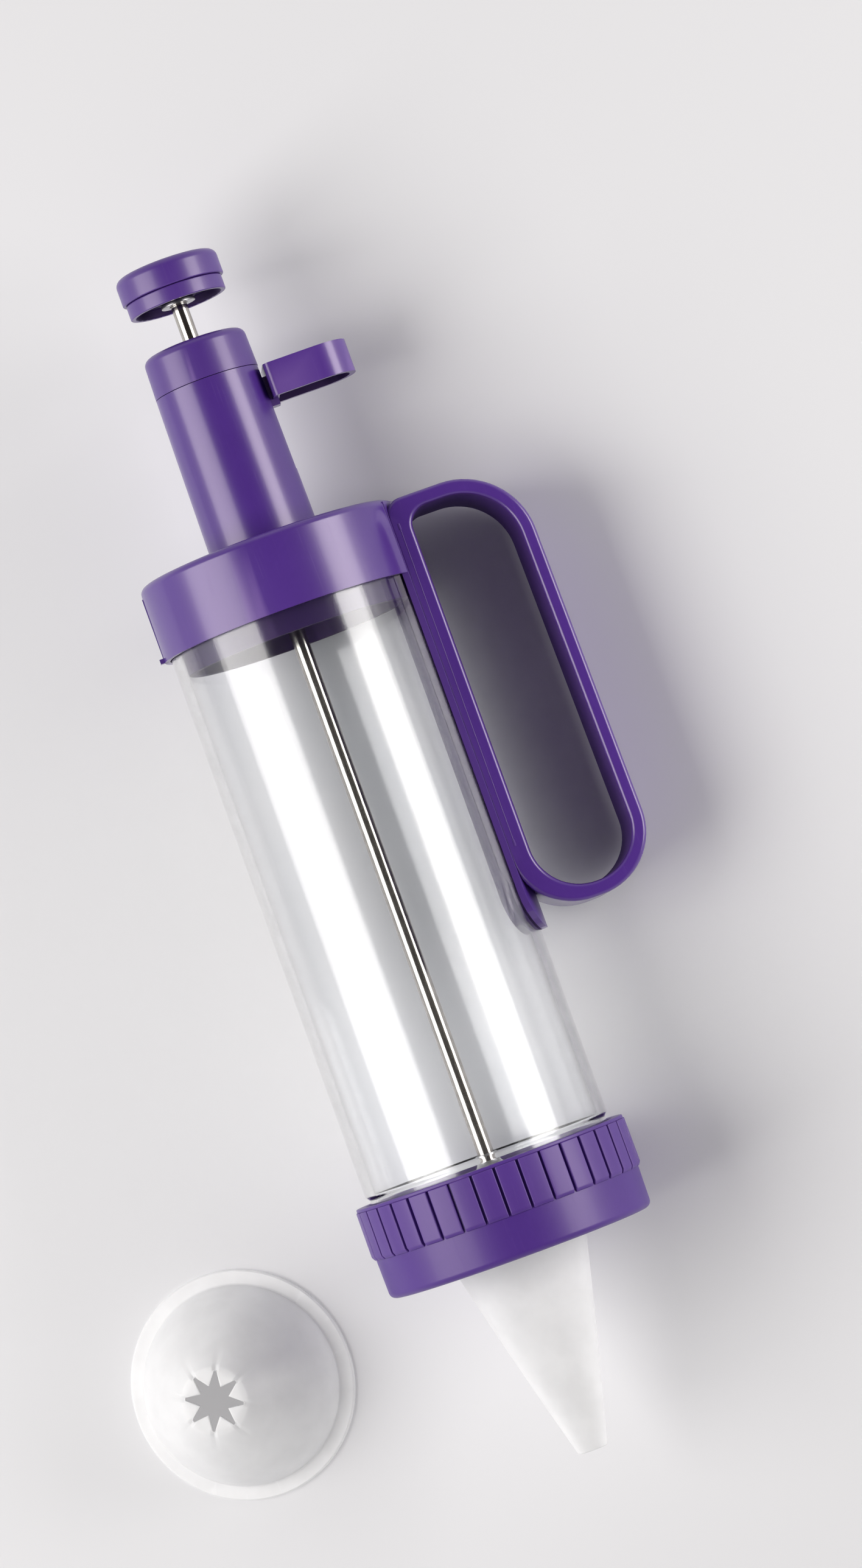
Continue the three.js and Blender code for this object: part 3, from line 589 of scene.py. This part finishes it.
loop_edges([(spine_back, loop_top, spine_round), (spine_back, loop_low, low_round),
            (low_far + loop_band, loop_low, low_round), (top_far + loop_band, loop_top, far_round)])
inner_low, inner_top = loop_low + loop_band, loop_top - loop_band
loop_edges([(spine_face, inner_top, spine_round), (spine_face, inner_low, low_round - loop_band),
            (low_far, inner_low, low_round - loop_band), (top_far, inner_top, far_round - loop_band)])
bmesh.ops.bridge_loops(loop, edges=loop.edges[:])
push(loop, loop.faces[:], (0, loop_depth, 0))
bmesh.ops.recalc_face_normals(loop, faces=loop.faces)
flat_sides = [face for face in loop.faces if abs(face.normal.y) > sideways]
rims = [edge for edge in loop.edges if sum(face in flat_sides for face in edge.link_faces) == 1]
bmesh.ops.bevel(loop, geom=rims, offset=rim_round, offset_type="OFFSET", affect="EDGES",
                segments=rim_steps, profile=0.5, material=-1, clamp_overlap=False)
fill_strips(loop, loop_depth, loop_depth / loop_strips)
for vert in loop.verts:
    vert.co.x = max(vert.co.x, math.sqrt(seat_r ** 2 - vert.co.y ** 2))
bmesh.ops.recalc_face_normals(loop, faces=loop.faces)


# These faces get the inner wall finish, whose darker purple is painted shade.
def on_inner_wall(at, way):
    """Faces that look toward the middle of the opening."""
    across = (loop_middle - at) * Vector((1, 0, 0.25))
    return abs(way.y) < FACING and across.dot(way) > 0


finish_piece("finger_loop", loop, purple, "head", ["handle_loop"], edge=0,
             inner=wall_painted_shade, inside=on_inner_wall)

# %% [markdown]
# A flash line runs down the side of the spine where the two halves of the mould met, with a small
# bead at each end. Both sides of the spine get a sliver that stands out by less than a tenth of a
# millimetre.

# %% Flash line
flash_x, flash_low, flash_high, flash_out, flash_root = 31.7, 146.5, 229.0, 0.07, 1.0
bead_x, bead_z, bead_out = 0.22, 0.8, 0.12
flash = bmesh.new()
for way in (-1, 1):
    root = way * (loop_depth / 2 - flash_root)
    line_y = sorted((root, way * (loop_depth / 2 + flash_out)))
    bead_y = sorted((root, way * (loop_depth / 2 + bead_out)))
    add_block(flash, (flash_x - flash_out, line_y[0], flash_low),
              (flash_x + flash_out, line_y[1], flash_high))
    for end in (flash_low, flash_high):
        add_block(flash, (flash_x - bead_x, bead_y[0], end - bead_z),
                  (flash_x + bead_x, bead_y[1], end + bead_z))
finish_piece("flash_line", flash, purple, "head", ["handle_loop"], edge=0.05)

# %% [markdown]
# The neck cap closes the top of the neck, with a sleeve that reaches down inside. Its seam shows as
# a fine dark line all the way round.

# %% Neck cap
seam_gap, lid_wall, lid_taper, lid_round = 0.16, 2.2, 0.25, 2
lid_low, sleeve_top = seam + seam_gap, neck_cap_top - lid_wall
sleeve_bore_r, sleeve_r, sleeve_low = 8.7, 10.9, 272.8
neck_cap = bmesh.new()
spin_section(neck_cap, [
    (sleeve_bore_r, sleeve_low), (sleeve_r, sleeve_low), (sleeve_r, lid_low), (neck_top_r, lid_low),
    (neck_top_r - lid_taper, neck_cap_top, lid_round), (rod_hole_r, neck_cap_top),
    (rod_hole_r, sleeve_top), (sleeve_bore_r, sleeve_top),
], steps=MEDIUM_STEPS)
finish_piece("neck_cap_smooth", neck_cap, crown_purple, "head", ["neck_cap"], edge=0.08)

# %% [markdown]
# The thumb lever is a shell, open below. A rounded plan is drawn up into a block, then the lower
# face is inset by the wall and pushed up inside, as one hollows a box.

# %% Thumb lever
lever_low, lever_top = 270.5, 278.9
lever_near, lever_far, lever_half = 14.0, 35.8, 8.7
lever_wall, lever_roof, near_round, tip_round = 1.6, 2.0, 1.6, 8.0
lever = bmesh.new()
section_face(lever, [(lever_near, -lever_half, near_round), (lever_far, -lever_half, tip_round),
                     (lever_far, lever_half, tip_round), (lever_near, lever_half, near_round)],
             across=lambda x, y: (x, y, lever_low))
push(lever, lever.faces[:], (0, 0, lever_top - lever_low), keep=True)
bmesh.ops.recalc_face_normals(lever, faces=lever.faces)
lever.faces.ensure_lookup_table()
under = min(lever.faces, key=lambda face: (face.calc_center_median().z, -face.calc_area()))
bmesh.ops.inset_region(lever, faces=[under], thickness=lever_wall, use_even_offset=True)
push(lever, [under], (0, 0, lever_top - lever_low - lever_roof))
bmesh.ops.delete(lever, geom=[under], context="FACES_ONLY")
bmesh.ops.recalc_face_normals(lever, faces=lever.faces)
lever_middle = Vector(((lever_near + lever_far) / 2, 0))


# These faces get the hollow finish, whose near-black purple is painted shade.
def in_lever(at, way):
    """The hollow's ceiling, and the walls that look toward the lever's middle."""
    ceiling = way.z < -FACING and at.z > lever_low + 1
    return ceiling or abs(way.z) < FACING and (at.xy - lever_middle).dot(way.xy) < 0


finish_piece("thumb_lever_shell", lever, purple, "lever", ["thumb_lever"], edge=0.5,
             inner=hollow_painted_shade, inside=in_lever)

# %% [markdown]
# The knob is two pieces pressed together: a cup with a hub and a thin rim below, and a wider cover
# with a rounded top. The step between them is a plain dark line.

# %% Knob
base_r, base_top, base_under = 12.45, cover_low - 0.1, 302.9
base_rim, base_wall, rim_height = 1.3, 1.6, 0.8
hub_r, hub_low = 5.0, 302.0
cup = bmesh.new()
spin_section(cup, [
    (base_r - base_rim, knob_low), (base_r, knob_low), (base_r, base_top),
    (rod_hole_r, base_top), (rod_hole_r, hub_low), (hub_r, hub_low), (hub_r, base_under),
    (base_r - base_wall, base_under), (base_r - base_wall, knob_low + rim_height),
], steps=MEDIUM_STEPS)


# These faces get the hollow finish, whose near-black purple is painted shade.
def in_knob(at, way):
    """Faces of the cup's hollow, hub and all."""
    return at.z < base_under + 0.1 and at.xy.length < base_r - 1.2


finish_piece("knob_cup", cup, crown_purple, "plunger", ["knob_base"], edge=0.3,
             inner=hollow_painted_shade, inside=in_knob)
knob_r, knob_round, socket_r, socket_top = 13.2, 2.0, 5.2, 307.2
cover = bmesh.new()
spin_section(cover, [
    (socket_r, cover_low), (knob_r, cover_low), (knob_r, knob_top, knob_round), (0, knob_top),
    (0, socket_top), (socket_r, socket_top),
], steps=MEDIUM_STEPS)
finish_piece("knob_top", cover, crown_purple, "plunger", ["knob_cover"], edge=0.35)
washer_r, washer_top = 4.4, 301.7
washer = bmesh.new()
spin_section(washer, [(rod_hole_r, knob_low), (washer_r, knob_low), (washer_r, washer_top),
                      (rod_hole_r, washer_top)], steps=SMALL_STEPS)
finish_piece("knob_plate_washer", washer, plated, "plunger", ["knob_washer"], edge=0.15)

# %% [markdown]
# The rod is a plain polished bar. At the piston it ends in a flared foot of plated metal. The
# piston is hollow below, with a hub for its screw and a groove that holds the seal.

# %% Rod, foot and piston
rod = bmesh.new()
rod_low, rod_top = 65.2, 304.0
spin_section(rod, [(0, rod_low), (rod_r, rod_low), (rod_r, rod_top), (0, rod_top)], steps=SMALL_STEPS)
finish_piece("rod", rod, polished, "plunger", ["plunger_rod"], edge=0.2)
piston_low, piston_top, foot_height = 61.5, 73.5, 3.4
foot_low = piston_top + gap
flare = [(3.6, 0), (3.6, 0.45), (3.05, 1.1, 0.5), (2.8, 2.2), (2.75, foot_height)]
foot = bmesh.new()
spin_section(foot, [
    (rod_hole_r, foot_low),
    *((radius, foot_low + height, *rounding) for radius, height, *rounding in flare),
    (rod_hole_r, foot_low + foot_height),
], steps=SMALL_STEPS)
finish_piece("rod_foot", foot, plated, "plunger", ["piston_foot"], edge=0.15)
piston_r = bore_r - 0.75
wall_r, piston_roof, piston_hub_r, piston_hub_low = piston_r - 4.4, piston_top - 2.5, 5.4, 64.9
groove_r, groove_low, groove_top = piston_r - 2.4, 66.1, 69.7
piston = bmesh.new()
spin_section(piston, [
    (rod_hole_r, piston_hub_low), (piston_hub_r, piston_hub_low), (piston_hub_r, piston_roof),
    (wall_r, piston_roof), (wall_r, piston_low), (piston_r, piston_low), (piston_r, groove_low),
    (groove_r, groove_low), (groove_r, groove_top), (piston_r, groove_top),
    (piston_r, piston_top), (rod_hole_r, piston_top),
])
finish_piece("piston", piston, white, "plunger", ["piston_body"], edge=0.4)
seal_low, seal_top, seal_round = groove_low + gap, groove_top - gap, 0.3
lip_low, lip_top = 67.4, 68.4
seal = bmesh.new()
spin_section(seal, [
    (groove_r + gap, seal_low), (piston_r - gap, seal_low), (bore_r - gap, lip_low, seal_round),
    (bore_r - gap, lip_top, seal_round), (piston_r - gap, seal_top), (groove_r + gap, seal_top),
])
finish_piece("piston_ring", seal, rubber, "plunger", ["piston_seal"], edge=0.15)

# %% [markdown]
# The barrel is a plain tube with a narrower threaded neck below and another thread at the top. A
# screw ridge is a small section spun with a rise: the spin operator climbs by dvec at each step.

# %% Clear barrel
barrel_low, barrel_top = 59.6, 233.9
tube_lip_r, tube_lip_top = bore_r - 1.75, barrel_low + 1.6
thread_low, slope, tube_round, tube_steps = barrel_top - 14.0, 0.8, 0.3, 160
pitch, ridge_turns, ridge_steps, ridge_half, crest_half = 6.0, 1.25, 96, 1.0, 0.5


def add_ridge(bm, root, crest, middle):
    """A ridge that starts with its middle at a height and climbs by the pitch in each turn."""
    part = bmesh.new()
    section_face(part, [(root, middle - ridge_half), (crest, middle - crest_half),
                        (crest, middle + crest_half), (root, middle + ridge_half)])
    bmesh.ops.spin(part, geom=everything(part), cent=(0, 0, 0), axis=(0, 0, 1),
                   angle=math.tau * ridge_turns, steps=round(ridge_turns * ridge_steps),
                   dvec=(0, 0, pitch / ridge_steps), use_merge=False)
    bmesh.ops.recalc_face_normals(part, faces=part.faces)
    add_part(bm, part)


tube = bmesh.new()
spin_section(tube, [
    (tube_lip_r, barrel_low), (barrel_neck_r, barrel_low), (barrel_neck_r, shoulder - slope),
    (barrel_r, shoulder, tube_round), (barrel_r, thread_low - slope, tube_round),
    (barrel_neck_r, thread_low), (barrel_neck_r, barrel_top), (bore_r, barrel_top),
    (bore_r, tube_lip_top), (tube_lip_r, tube_lip_top),
], steps=tube_steps)
ridge_root = barrel_neck_r + 0.02
add_ridge(tube, ridge_root, crest=barrel_neck_r + 1.0, middle=barrel_low + 3.0)
add_ridge(tube, ridge_root, crest=barrel_r, middle=thread_low + 3.4)
finish_piece("barrel_tube", tube, clear, "barrel", ["barrel"], edge=0.25)

# %% [markdown]
# The screw ring is spun, with a smooth band below and a grip zone above. The grip is a row of
# pads. One pad is a block with a sloped foot, cut into strips and bent to the ring's round, and
# spin copies it round the ring.

# %% Screw ring
band_r, pad_r, pad_count, pad_groove = 34.3, 35.15, 37, 0.75
pad_low, pad_top = 61.7, 74.1
lip_r, seat_z, ring_bore_r = 26.6, 57.4, 32.15
band_taper, band_round, band_top, floor_low = 0.2, 1.6, pad_low - 0.2, pad_low + 0.6
floor_r, rim_r, steps_a_pad = band_r - 0.15, pad_r - 0.35, 4
ring = bmesh.new()
spin_section(ring, [
    (lip_r, ring_low), (band_r - band_taper, ring_low, band_round), (band_r, band_top),
    (floor_r, floor_low), (floor_r, pad_top), (rim_r, pad_top), (rim_r, ring_top),
    (ring_bore_r, ring_top), (ring_bore_r, seat_z), (lip_r, seat_z),
], steps=steps_a_pad * pad_count)
pad = bmesh.new()
pad_half = math.pi * pad_r / pad_count - pad_groove / 2
pad_root, pad_end, pad_slope = band_r - 0.6, pad_top + 0.05, 1.0
pad_foot_r, pad_wide_r, pad_head_r = pad_r - 0.60, pad_r - 0.02, pad_r - 0.07
section_face(pad, [(pad_root, pad_low), (pad_foot_r, pad_low), (pad_wide_r, pad_low + pad_slope),
                   (pad_head_r, pad_end), (pad_root, pad_end)],
             across=lambda r, z: (r, -pad_half, z))
push(pad, pad.faces[:], (0, 2 * pad_half, 0), keep=True)
fill_strips(pad, 2 * pad_half, pad_half / 2)
for vert in pad.verts:
    vert.co.x -= pad_r - math.sqrt(pad_r ** 2 - vert.co.y ** 2)
bmesh.ops.recalc_face_normals(pad, faces=pad.faces)
bmesh.ops.spin(pad, geom=everything(pad), cent=(0, 0, 0), axis=(0, 0, 1), angle=math.tau,
               steps=pad_count, use_duplicate=True)
bmesh.ops.remove_doubles(pad, verts=pad.verts, dist=CLOSE)
add_part(ring, pad)
finish_piece("screw_ring", ring, satin_purple, "ring", ["locking_ring"], edge=0.25)

# %% [markdown]
# The fitted nozzle is a flange held in the ring, a shoulder, and a long cone. The cone has a slight
# belly, so its outside is a row of corners from a formula, and the rest of the section is written
# out. Spun in one go, the piece gets its hollow and the hole at its tip with the outside.

# %% Round nozzle
cone_root_r, tip_r, tip_bore_r, cone_wall, cone_belly, cone_parts = 16.85, 3.7, 2.6, 1.2, 0.08, 12
shoulder_r, shoulder_low, shoulder_inner_r, shoulder_inner_low = 22.2, 53.6, 21.6, 54.9
collar_r, collar_low, collar_inner_r, collar_inner_low = 25.7, 57.0, 24.5, 57.2
flange_r, flange_low, flange_top = 29.8, 57.7, 59.3
outer_round, inner_round, root_round = 1.5, 1.2, 0.6


def cone_corner(share):
    """Radius and height of the cone's outside at a share of its length."""
    swelling = share + cone_belly * share * (1 - share)
    return tip_r + (cone_root_r - tip_r) * swelling, ring_low * share


nozzle = bmesh.new()
spin_section(nozzle, [
    *(cone_corner(part / cone_parts) for part in range(cone_parts + 1)),
    (cone_root_r + 1.1, ring_low + 1.1, root_round), (shoulder_r, shoulder_low, outer_round),
    (collar_r, collar_low, outer_round), (collar_r, flange_low), (flange_r, flange_low),
    (flange_r, flange_top), (collar_inner_r, flange_top),
    (collar_inner_r, collar_inner_low, inner_round),
    (shoulder_inner_r, shoulder_inner_low, inner_round),
    (cone_root_r - 0.1, ring_low + 2.3), (cone_root_r - cone_wall, ring_low), (tip_bore_r, 0),
], steps=MEDIUM_STEPS)
finish_piece("nozzle_round", nozzle, white, "nozzle", ["nozzle"], edge=0.3)

# %% [markdown]
# The spare nozzle stands by itself on its flange: a dome with an eight-armed star cut in its end.
# A boolean cut would leave ragged corners, so the whole piece grows out of the star itself. The
# star's outline is a distance from the middle for each direction: an arm has straight sides, which
# meet its neighbours' in a notch, and a blunt end.

# %% Star outline
star_arms, arm_reach, arm_root, arm_tip = 8, 7.7, 4.0, 0.5
star_turn, arm_angle = math.radians(23), math.tau / star_arms


def off_arm(angle):
    """How far, in radians, a direction lies from the nearest arm's middle."""
    return abs((angle - star_turn + arm_angle / 2) % arm_angle - arm_angle / 2)


def star_radius(angle):
    """Where a ray from the centre meets an arm's straight side, or its blunt end."""
    off = off_arm(angle)
    root = Vector((math.cos(arm_angle / 2), math.sin(arm_angle / 2))) * arm_root
    start = Vector((arm_reach - arm_tip, arm_tip))
    side = root - start
    ray = Vector((math.cos(off), math.sin(off)))
    reach = (start.x * side.y - start.y * side.x) / (ray.x * side.y - ray.y * side.x)
    return min(reach, arm_reach)


print("star radius at an arm and between arms:", round(star_radius(star_turn), 2),
      round(star_radius(star_turn + arm_angle / 2), 2))

# %% [markdown]
# A circle of edges is pulled onto the star's outline and is then extruded ring by ring: over the
# dome, round the flange, back up inside, and at last bridged to where it began. Moving a ring is
# moving each vertex along its own direction, so the arms stay straight and sharp. Each ring has a
# radius and a height, then the share of the star's shape that it keeps, and how far it dips at the
# creases.

# %% Star nozzle
star_low, star_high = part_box("star_nozzle")
star_middle = ((star_low.x + star_high.x) / 2, (star_low.y + star_high.y) / 2, 0)
star_place = Matrix.Translation(star_middle) @ Matrix.Scale(MM, 4)
star_height, star_wall, dome_steps, arm_steps, crease_half = 26.9, 1.2, 14, 40, 0.11


def dome_points(inset):
    """Points down a soft curve from the dome's end to its foot."""
    top = Vector((9.6, star_height - 0.9 - inset))
    pull = Vector((24.1 - inset, 15.4))
    foot = Vector((25.9 - inset, 1.9))
    shares = [step / dome_steps for step in range(dome_steps + 1)]
    return [top * (1 - t) ** 2 + pull * 2 * t * (1 - t) + foot * t * t for t in shares]


def move_ring(verts, radius, height, share=0.0, crease=0.0):
    """Share 0 is a circle and 1 is the star. A crease dips the ring in line with each arm."""
    for vert in verts:
        angle = math.atan2(vert.co.y, vert.co.x)
        reach = radius + (star_radius(angle) - radius) * share
        dip = crease * max(0.0, 1 - off_arm(angle) / crease_half)
        vert.co = Vector((math.cos(angle) * reach, math.sin(angle) * reach, height - dip))


star = bmesh.new()
bmesh.ops.create_circle(star, cap_ends=False, segments=star_arms * arm_steps, radius=arm_reach)
first_ring = star.edges[:]
move_ring(star.verts, 8.0, star_height, share=1.0)
mouth = [(7.9, star_height, 0.75, 0.10), (8.2, star_height - 0.05, 0.40, 0.45),
         (8.5, star_height - 0.12, 0.0, 0.60), (9.0, star_height - 0.40, 0.0, 0.42)]
dome = [(p.x, p.y, 0.0, max(0.0, 0.30 - 0.20 * step)) for step, p in enumerate(dome_points(0))]
flange = [(26.4, 1.6), (29.4, 1.6), (29.8, 1.2), (29.8, 0.35), (29.5, 0.0), (24.6, 0.0)]
inner_dome = [(p.x, p.y) for p in reversed(dome_points(star_wall))]
back_edge = [(8.4, star_height - star_wall - 0.1, 0.3), (8.0, star_height - star_wall, 1.0)]
ring_edges = first_ring
for ring_place in mouth + dome + flange + inner_dome + back_edge:
    grown = bmesh.ops.extrude_edge_only(star, edges=ring_edges)["geom"]
    new_verts = {item for item in grown if isinstance(item, bmesh.types.BMVert)}
    ring_edges = [item for item in grown if isinstance(item, bmesh.types.BMEdge)
                  and all(vert in new_verts for vert in item.verts)]
    move_ring(new_verts, *ring_place)
bmesh.ops.bridge_loops(star, edges=first_ring + ring_edges)
bmesh.ops.recalc_face_normals(star, faces=star.faces)
print("star nozzle, open edges:", sum(edge.is_boundary for edge in star.edges))
finish_piece("nozzle_star", star, white, "spare_nozzle", ["star_nozzle"], edge=0.22,
             segments=2, place=star_place)

# %% [markdown]
# Stage, light and camera follow. The floor is plain and pale and only takes the object's shadow.

# %% Floor
FLOOR = (0.83, 0.83, 0.845, 1)
FLOOR_HALF = 6.0
ground = bmesh.new()
bmesh.ops.create_grid(ground, x_segments=1, y_segments=1, size=FLOOR_HALF)
floor_mesh = bpy.data.meshes.new("floor")
ground.to_mesh(floor_mesh)
ground.free()
floor = bpy.data.objects.new("floor", floor_mesh)
bpy.context.scene.collection.objects.link(floor)
matt = Paint(bpy.data.materials.new("floor_paper"))
floor_mesh.materials.append(matt.give(matt.node("ShaderNodeBsdfDiffuse", None, {"Color": FLOOR})))
print("floor:", 2 * FLOOR_HALF, "m across")

# %% [markdown]
# Glossy plastic is drawn by what it mirrors. Two large soft boxes, one to the left and one to the
# right of the lens, lay broad pale bands along every cylinder. Between them the world is dark
# round the lens, which keeps the middle of each cylinder deep in colour and puts the dark stripe
# down the polished rod. Toward the horizon the world is pale, which fills the shadows softly.

# %% World
PALE_SKY = (0.70, 0.70, 0.71, 1)
DARK_SKY = (0.040, 0.036, 0.034, 1)
world = bpy.data.worlds.new("studio")
bpy.context.scene.world = world
sky = Paint(world, "ShaderNodeOutputWorld", "Generated")
toward_lens = sky.node("ShaderNodeVectorMath", {"operation": "DOT_PRODUCT"},
                       {0: sky.place, 1: tuple(-y_way)}, out="Value")
sky_colour = sky.mix(toward_lens.clamp(low=0.30, high=0.82), PALE_SKY, DARK_SKY)
sky.give(sky.node("ShaderNodeBackground", None, {"Color": sky_colour, "Strength": 1.0}))
print("the world is darkest toward", [round(part, 2) for part in -y_way])


# %% [markdown]
# Each soft box is placed by its angle round the tool, counted from the lens, because that angle
# decides where on a cylinder its band falls: half of it, measured at the cylinder's axis. Its power
# follows from how bright its face should look and how large it is.

# %% Soft boxes
BOX_REACH, BOX_LEVEL = 1000, 190
BOX_COLOUR = (1.0, 0.975, 0.955)


def upright_point(x, y, z):
    """A point of the upright tool's own space, where it lies in the scene."""
    return lay_down @ Vector((x, y, z))


def softbox(name, degrees, width, height, glow):
    """A lamp of a width and height in metres, turned to face the tool's axis."""
    turned = math.radians(degrees)
    lamp = bpy.data.lights.new(name, "AREA")
    lamp.color = BOX_COLOUR
    lamp.shape = "RECTANGLE"
    lamp.size, lamp.size_y = width, height
    lamp.energy = glow * math.pi * width * height
    obj = bpy.data.objects.new(name, lamp)
    bpy.context.scene.collection.objects.link(obj)
    start = upright_point(math.sin(turned) * BOX_REACH, -math.cos(turned) * BOX_REACH, BOX_LEVEL)
    away = (start - upright_point(0, 0, BOX_LEVEL)).normalized()
    side = z_way.cross(away).normalized()
    obj.matrix_world = Matrix.Translation(start) @ Matrix((side, z_way, away)).transposed().to_4x4()
    print(f"{name}: {lamp.energy:.1f} W, {start.z:.2f} m above the floor")


softbox("left_window", degrees=-58, width=0.84, height=0.72, glow=4.35)
softbox("right_window", degrees=55, width=0.50, height=0.72, glow=6.4)

# %% [markdown]
# The camera stands where the photograph was taken from. These numbers came from matching the rims
# of the round parts, whose curves show how far away and how high the lens was.

# %% Camera
eye = upright_point(-78.2, -1378.2, 106.3)
target = upright_point(18.4, 0, 167.6)
lean, film_height = 0.348, 36
picture_height, focal_pixels = 2576, 9182.7
up_hint = turn.to_3x3() @ Vector((math.sin(lean), 0, math.cos(lean)))
back = (eye - target).normalized()
right = up_hint.cross(back).normalized()
true_up = back.cross(right)
lens = bpy.data.cameras.new("camera")
lens.sensor_fit = "VERTICAL"
lens.sensor_height = film_height
lens.lens = focal_pixels / picture_height * film_height
camera = bpy.data.objects.new("camera", lens)
camera.matrix_world = Matrix.Translation(eye) @ Matrix((right, true_up, back)).transposed().to_4x4()
bpy.context.scene.collection.objects.link(camera)
bpy.context.scene.camera = camera
bpy.context.scene.view_settings.view_transform = "Standard"
print("camera", round((eye - target).length, 3), "m away, lens", round(lens.lens, 1), "mm")

# %% [markdown]
# The return spring in the neck is a round wire wound up a screw line. Its coil stands on the cap.
# The share of its height that the lever's travel would leave is worked out, but nothing here uses
# it, so the coil keeps its shape; the piece only gets a mesh of its own.

# %% Return spring
coil_r, coil_low, coil_high, coil_turns, coil_steps = 8.4, 237.5, 263.1, 5, 48
wire_r, wire_sides = 0.55, 12
lever_travel = joints["lever_slide"]["range_m"][1] / MM
coil = bmesh.new()
wire_place = Matrix.Translation((coil_r, 0, coil_low + wire_r)) @ Matrix.Rotation(math.pi / 2, 4, "X")
bmesh.ops.create_circle(coil, radius=wire_r, segments=wire_sides, cap_ends=False, matrix=wire_place)
climb = (coil_high - coil_low - 2 * wire_r) / (coil_turns * coil_steps)
bmesh.ops.spin(coil, geom=coil.verts[:] + coil.edges[:], cent=(0, 0, 0), axis=(0, 0, 1),
               dvec=(0, 0, climb), angle=coil_turns * math.tau, steps=coil_turns * coil_steps)
bmesh.ops.holes_fill(coil, edges=[edge for edge in coil.edges if edge.is_boundary])
bmesh.ops.recalc_face_normals(coil, faces=coil.faces)
coil_piece = finish_piece("return_coil", coil, spring_steel, "head", ["return_spring"], edge=0)
coil_height = coil_high - coil_low
(coil_height - lever_travel) / coil_height
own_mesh(coil_piece)

# %% [markdown]
# The pieces inside the neck and the screws are already right as they came from CAD, and hardly
# show. They stay as they are and only get their finishes.

# %% CAD pieces that stay
stays = {
    "lever_carriage": dark_purple, "grip_plate": spring_steel, "spring_washer": plated,
    "piston_screw": plated, "knob_screw": plated,
}
for name, material in stays.items():
    mesh = frame["nodes"][name].data
    mesh.materials.clear()
    mesh.materials.append(material)
    print("kept from CAD:", name)
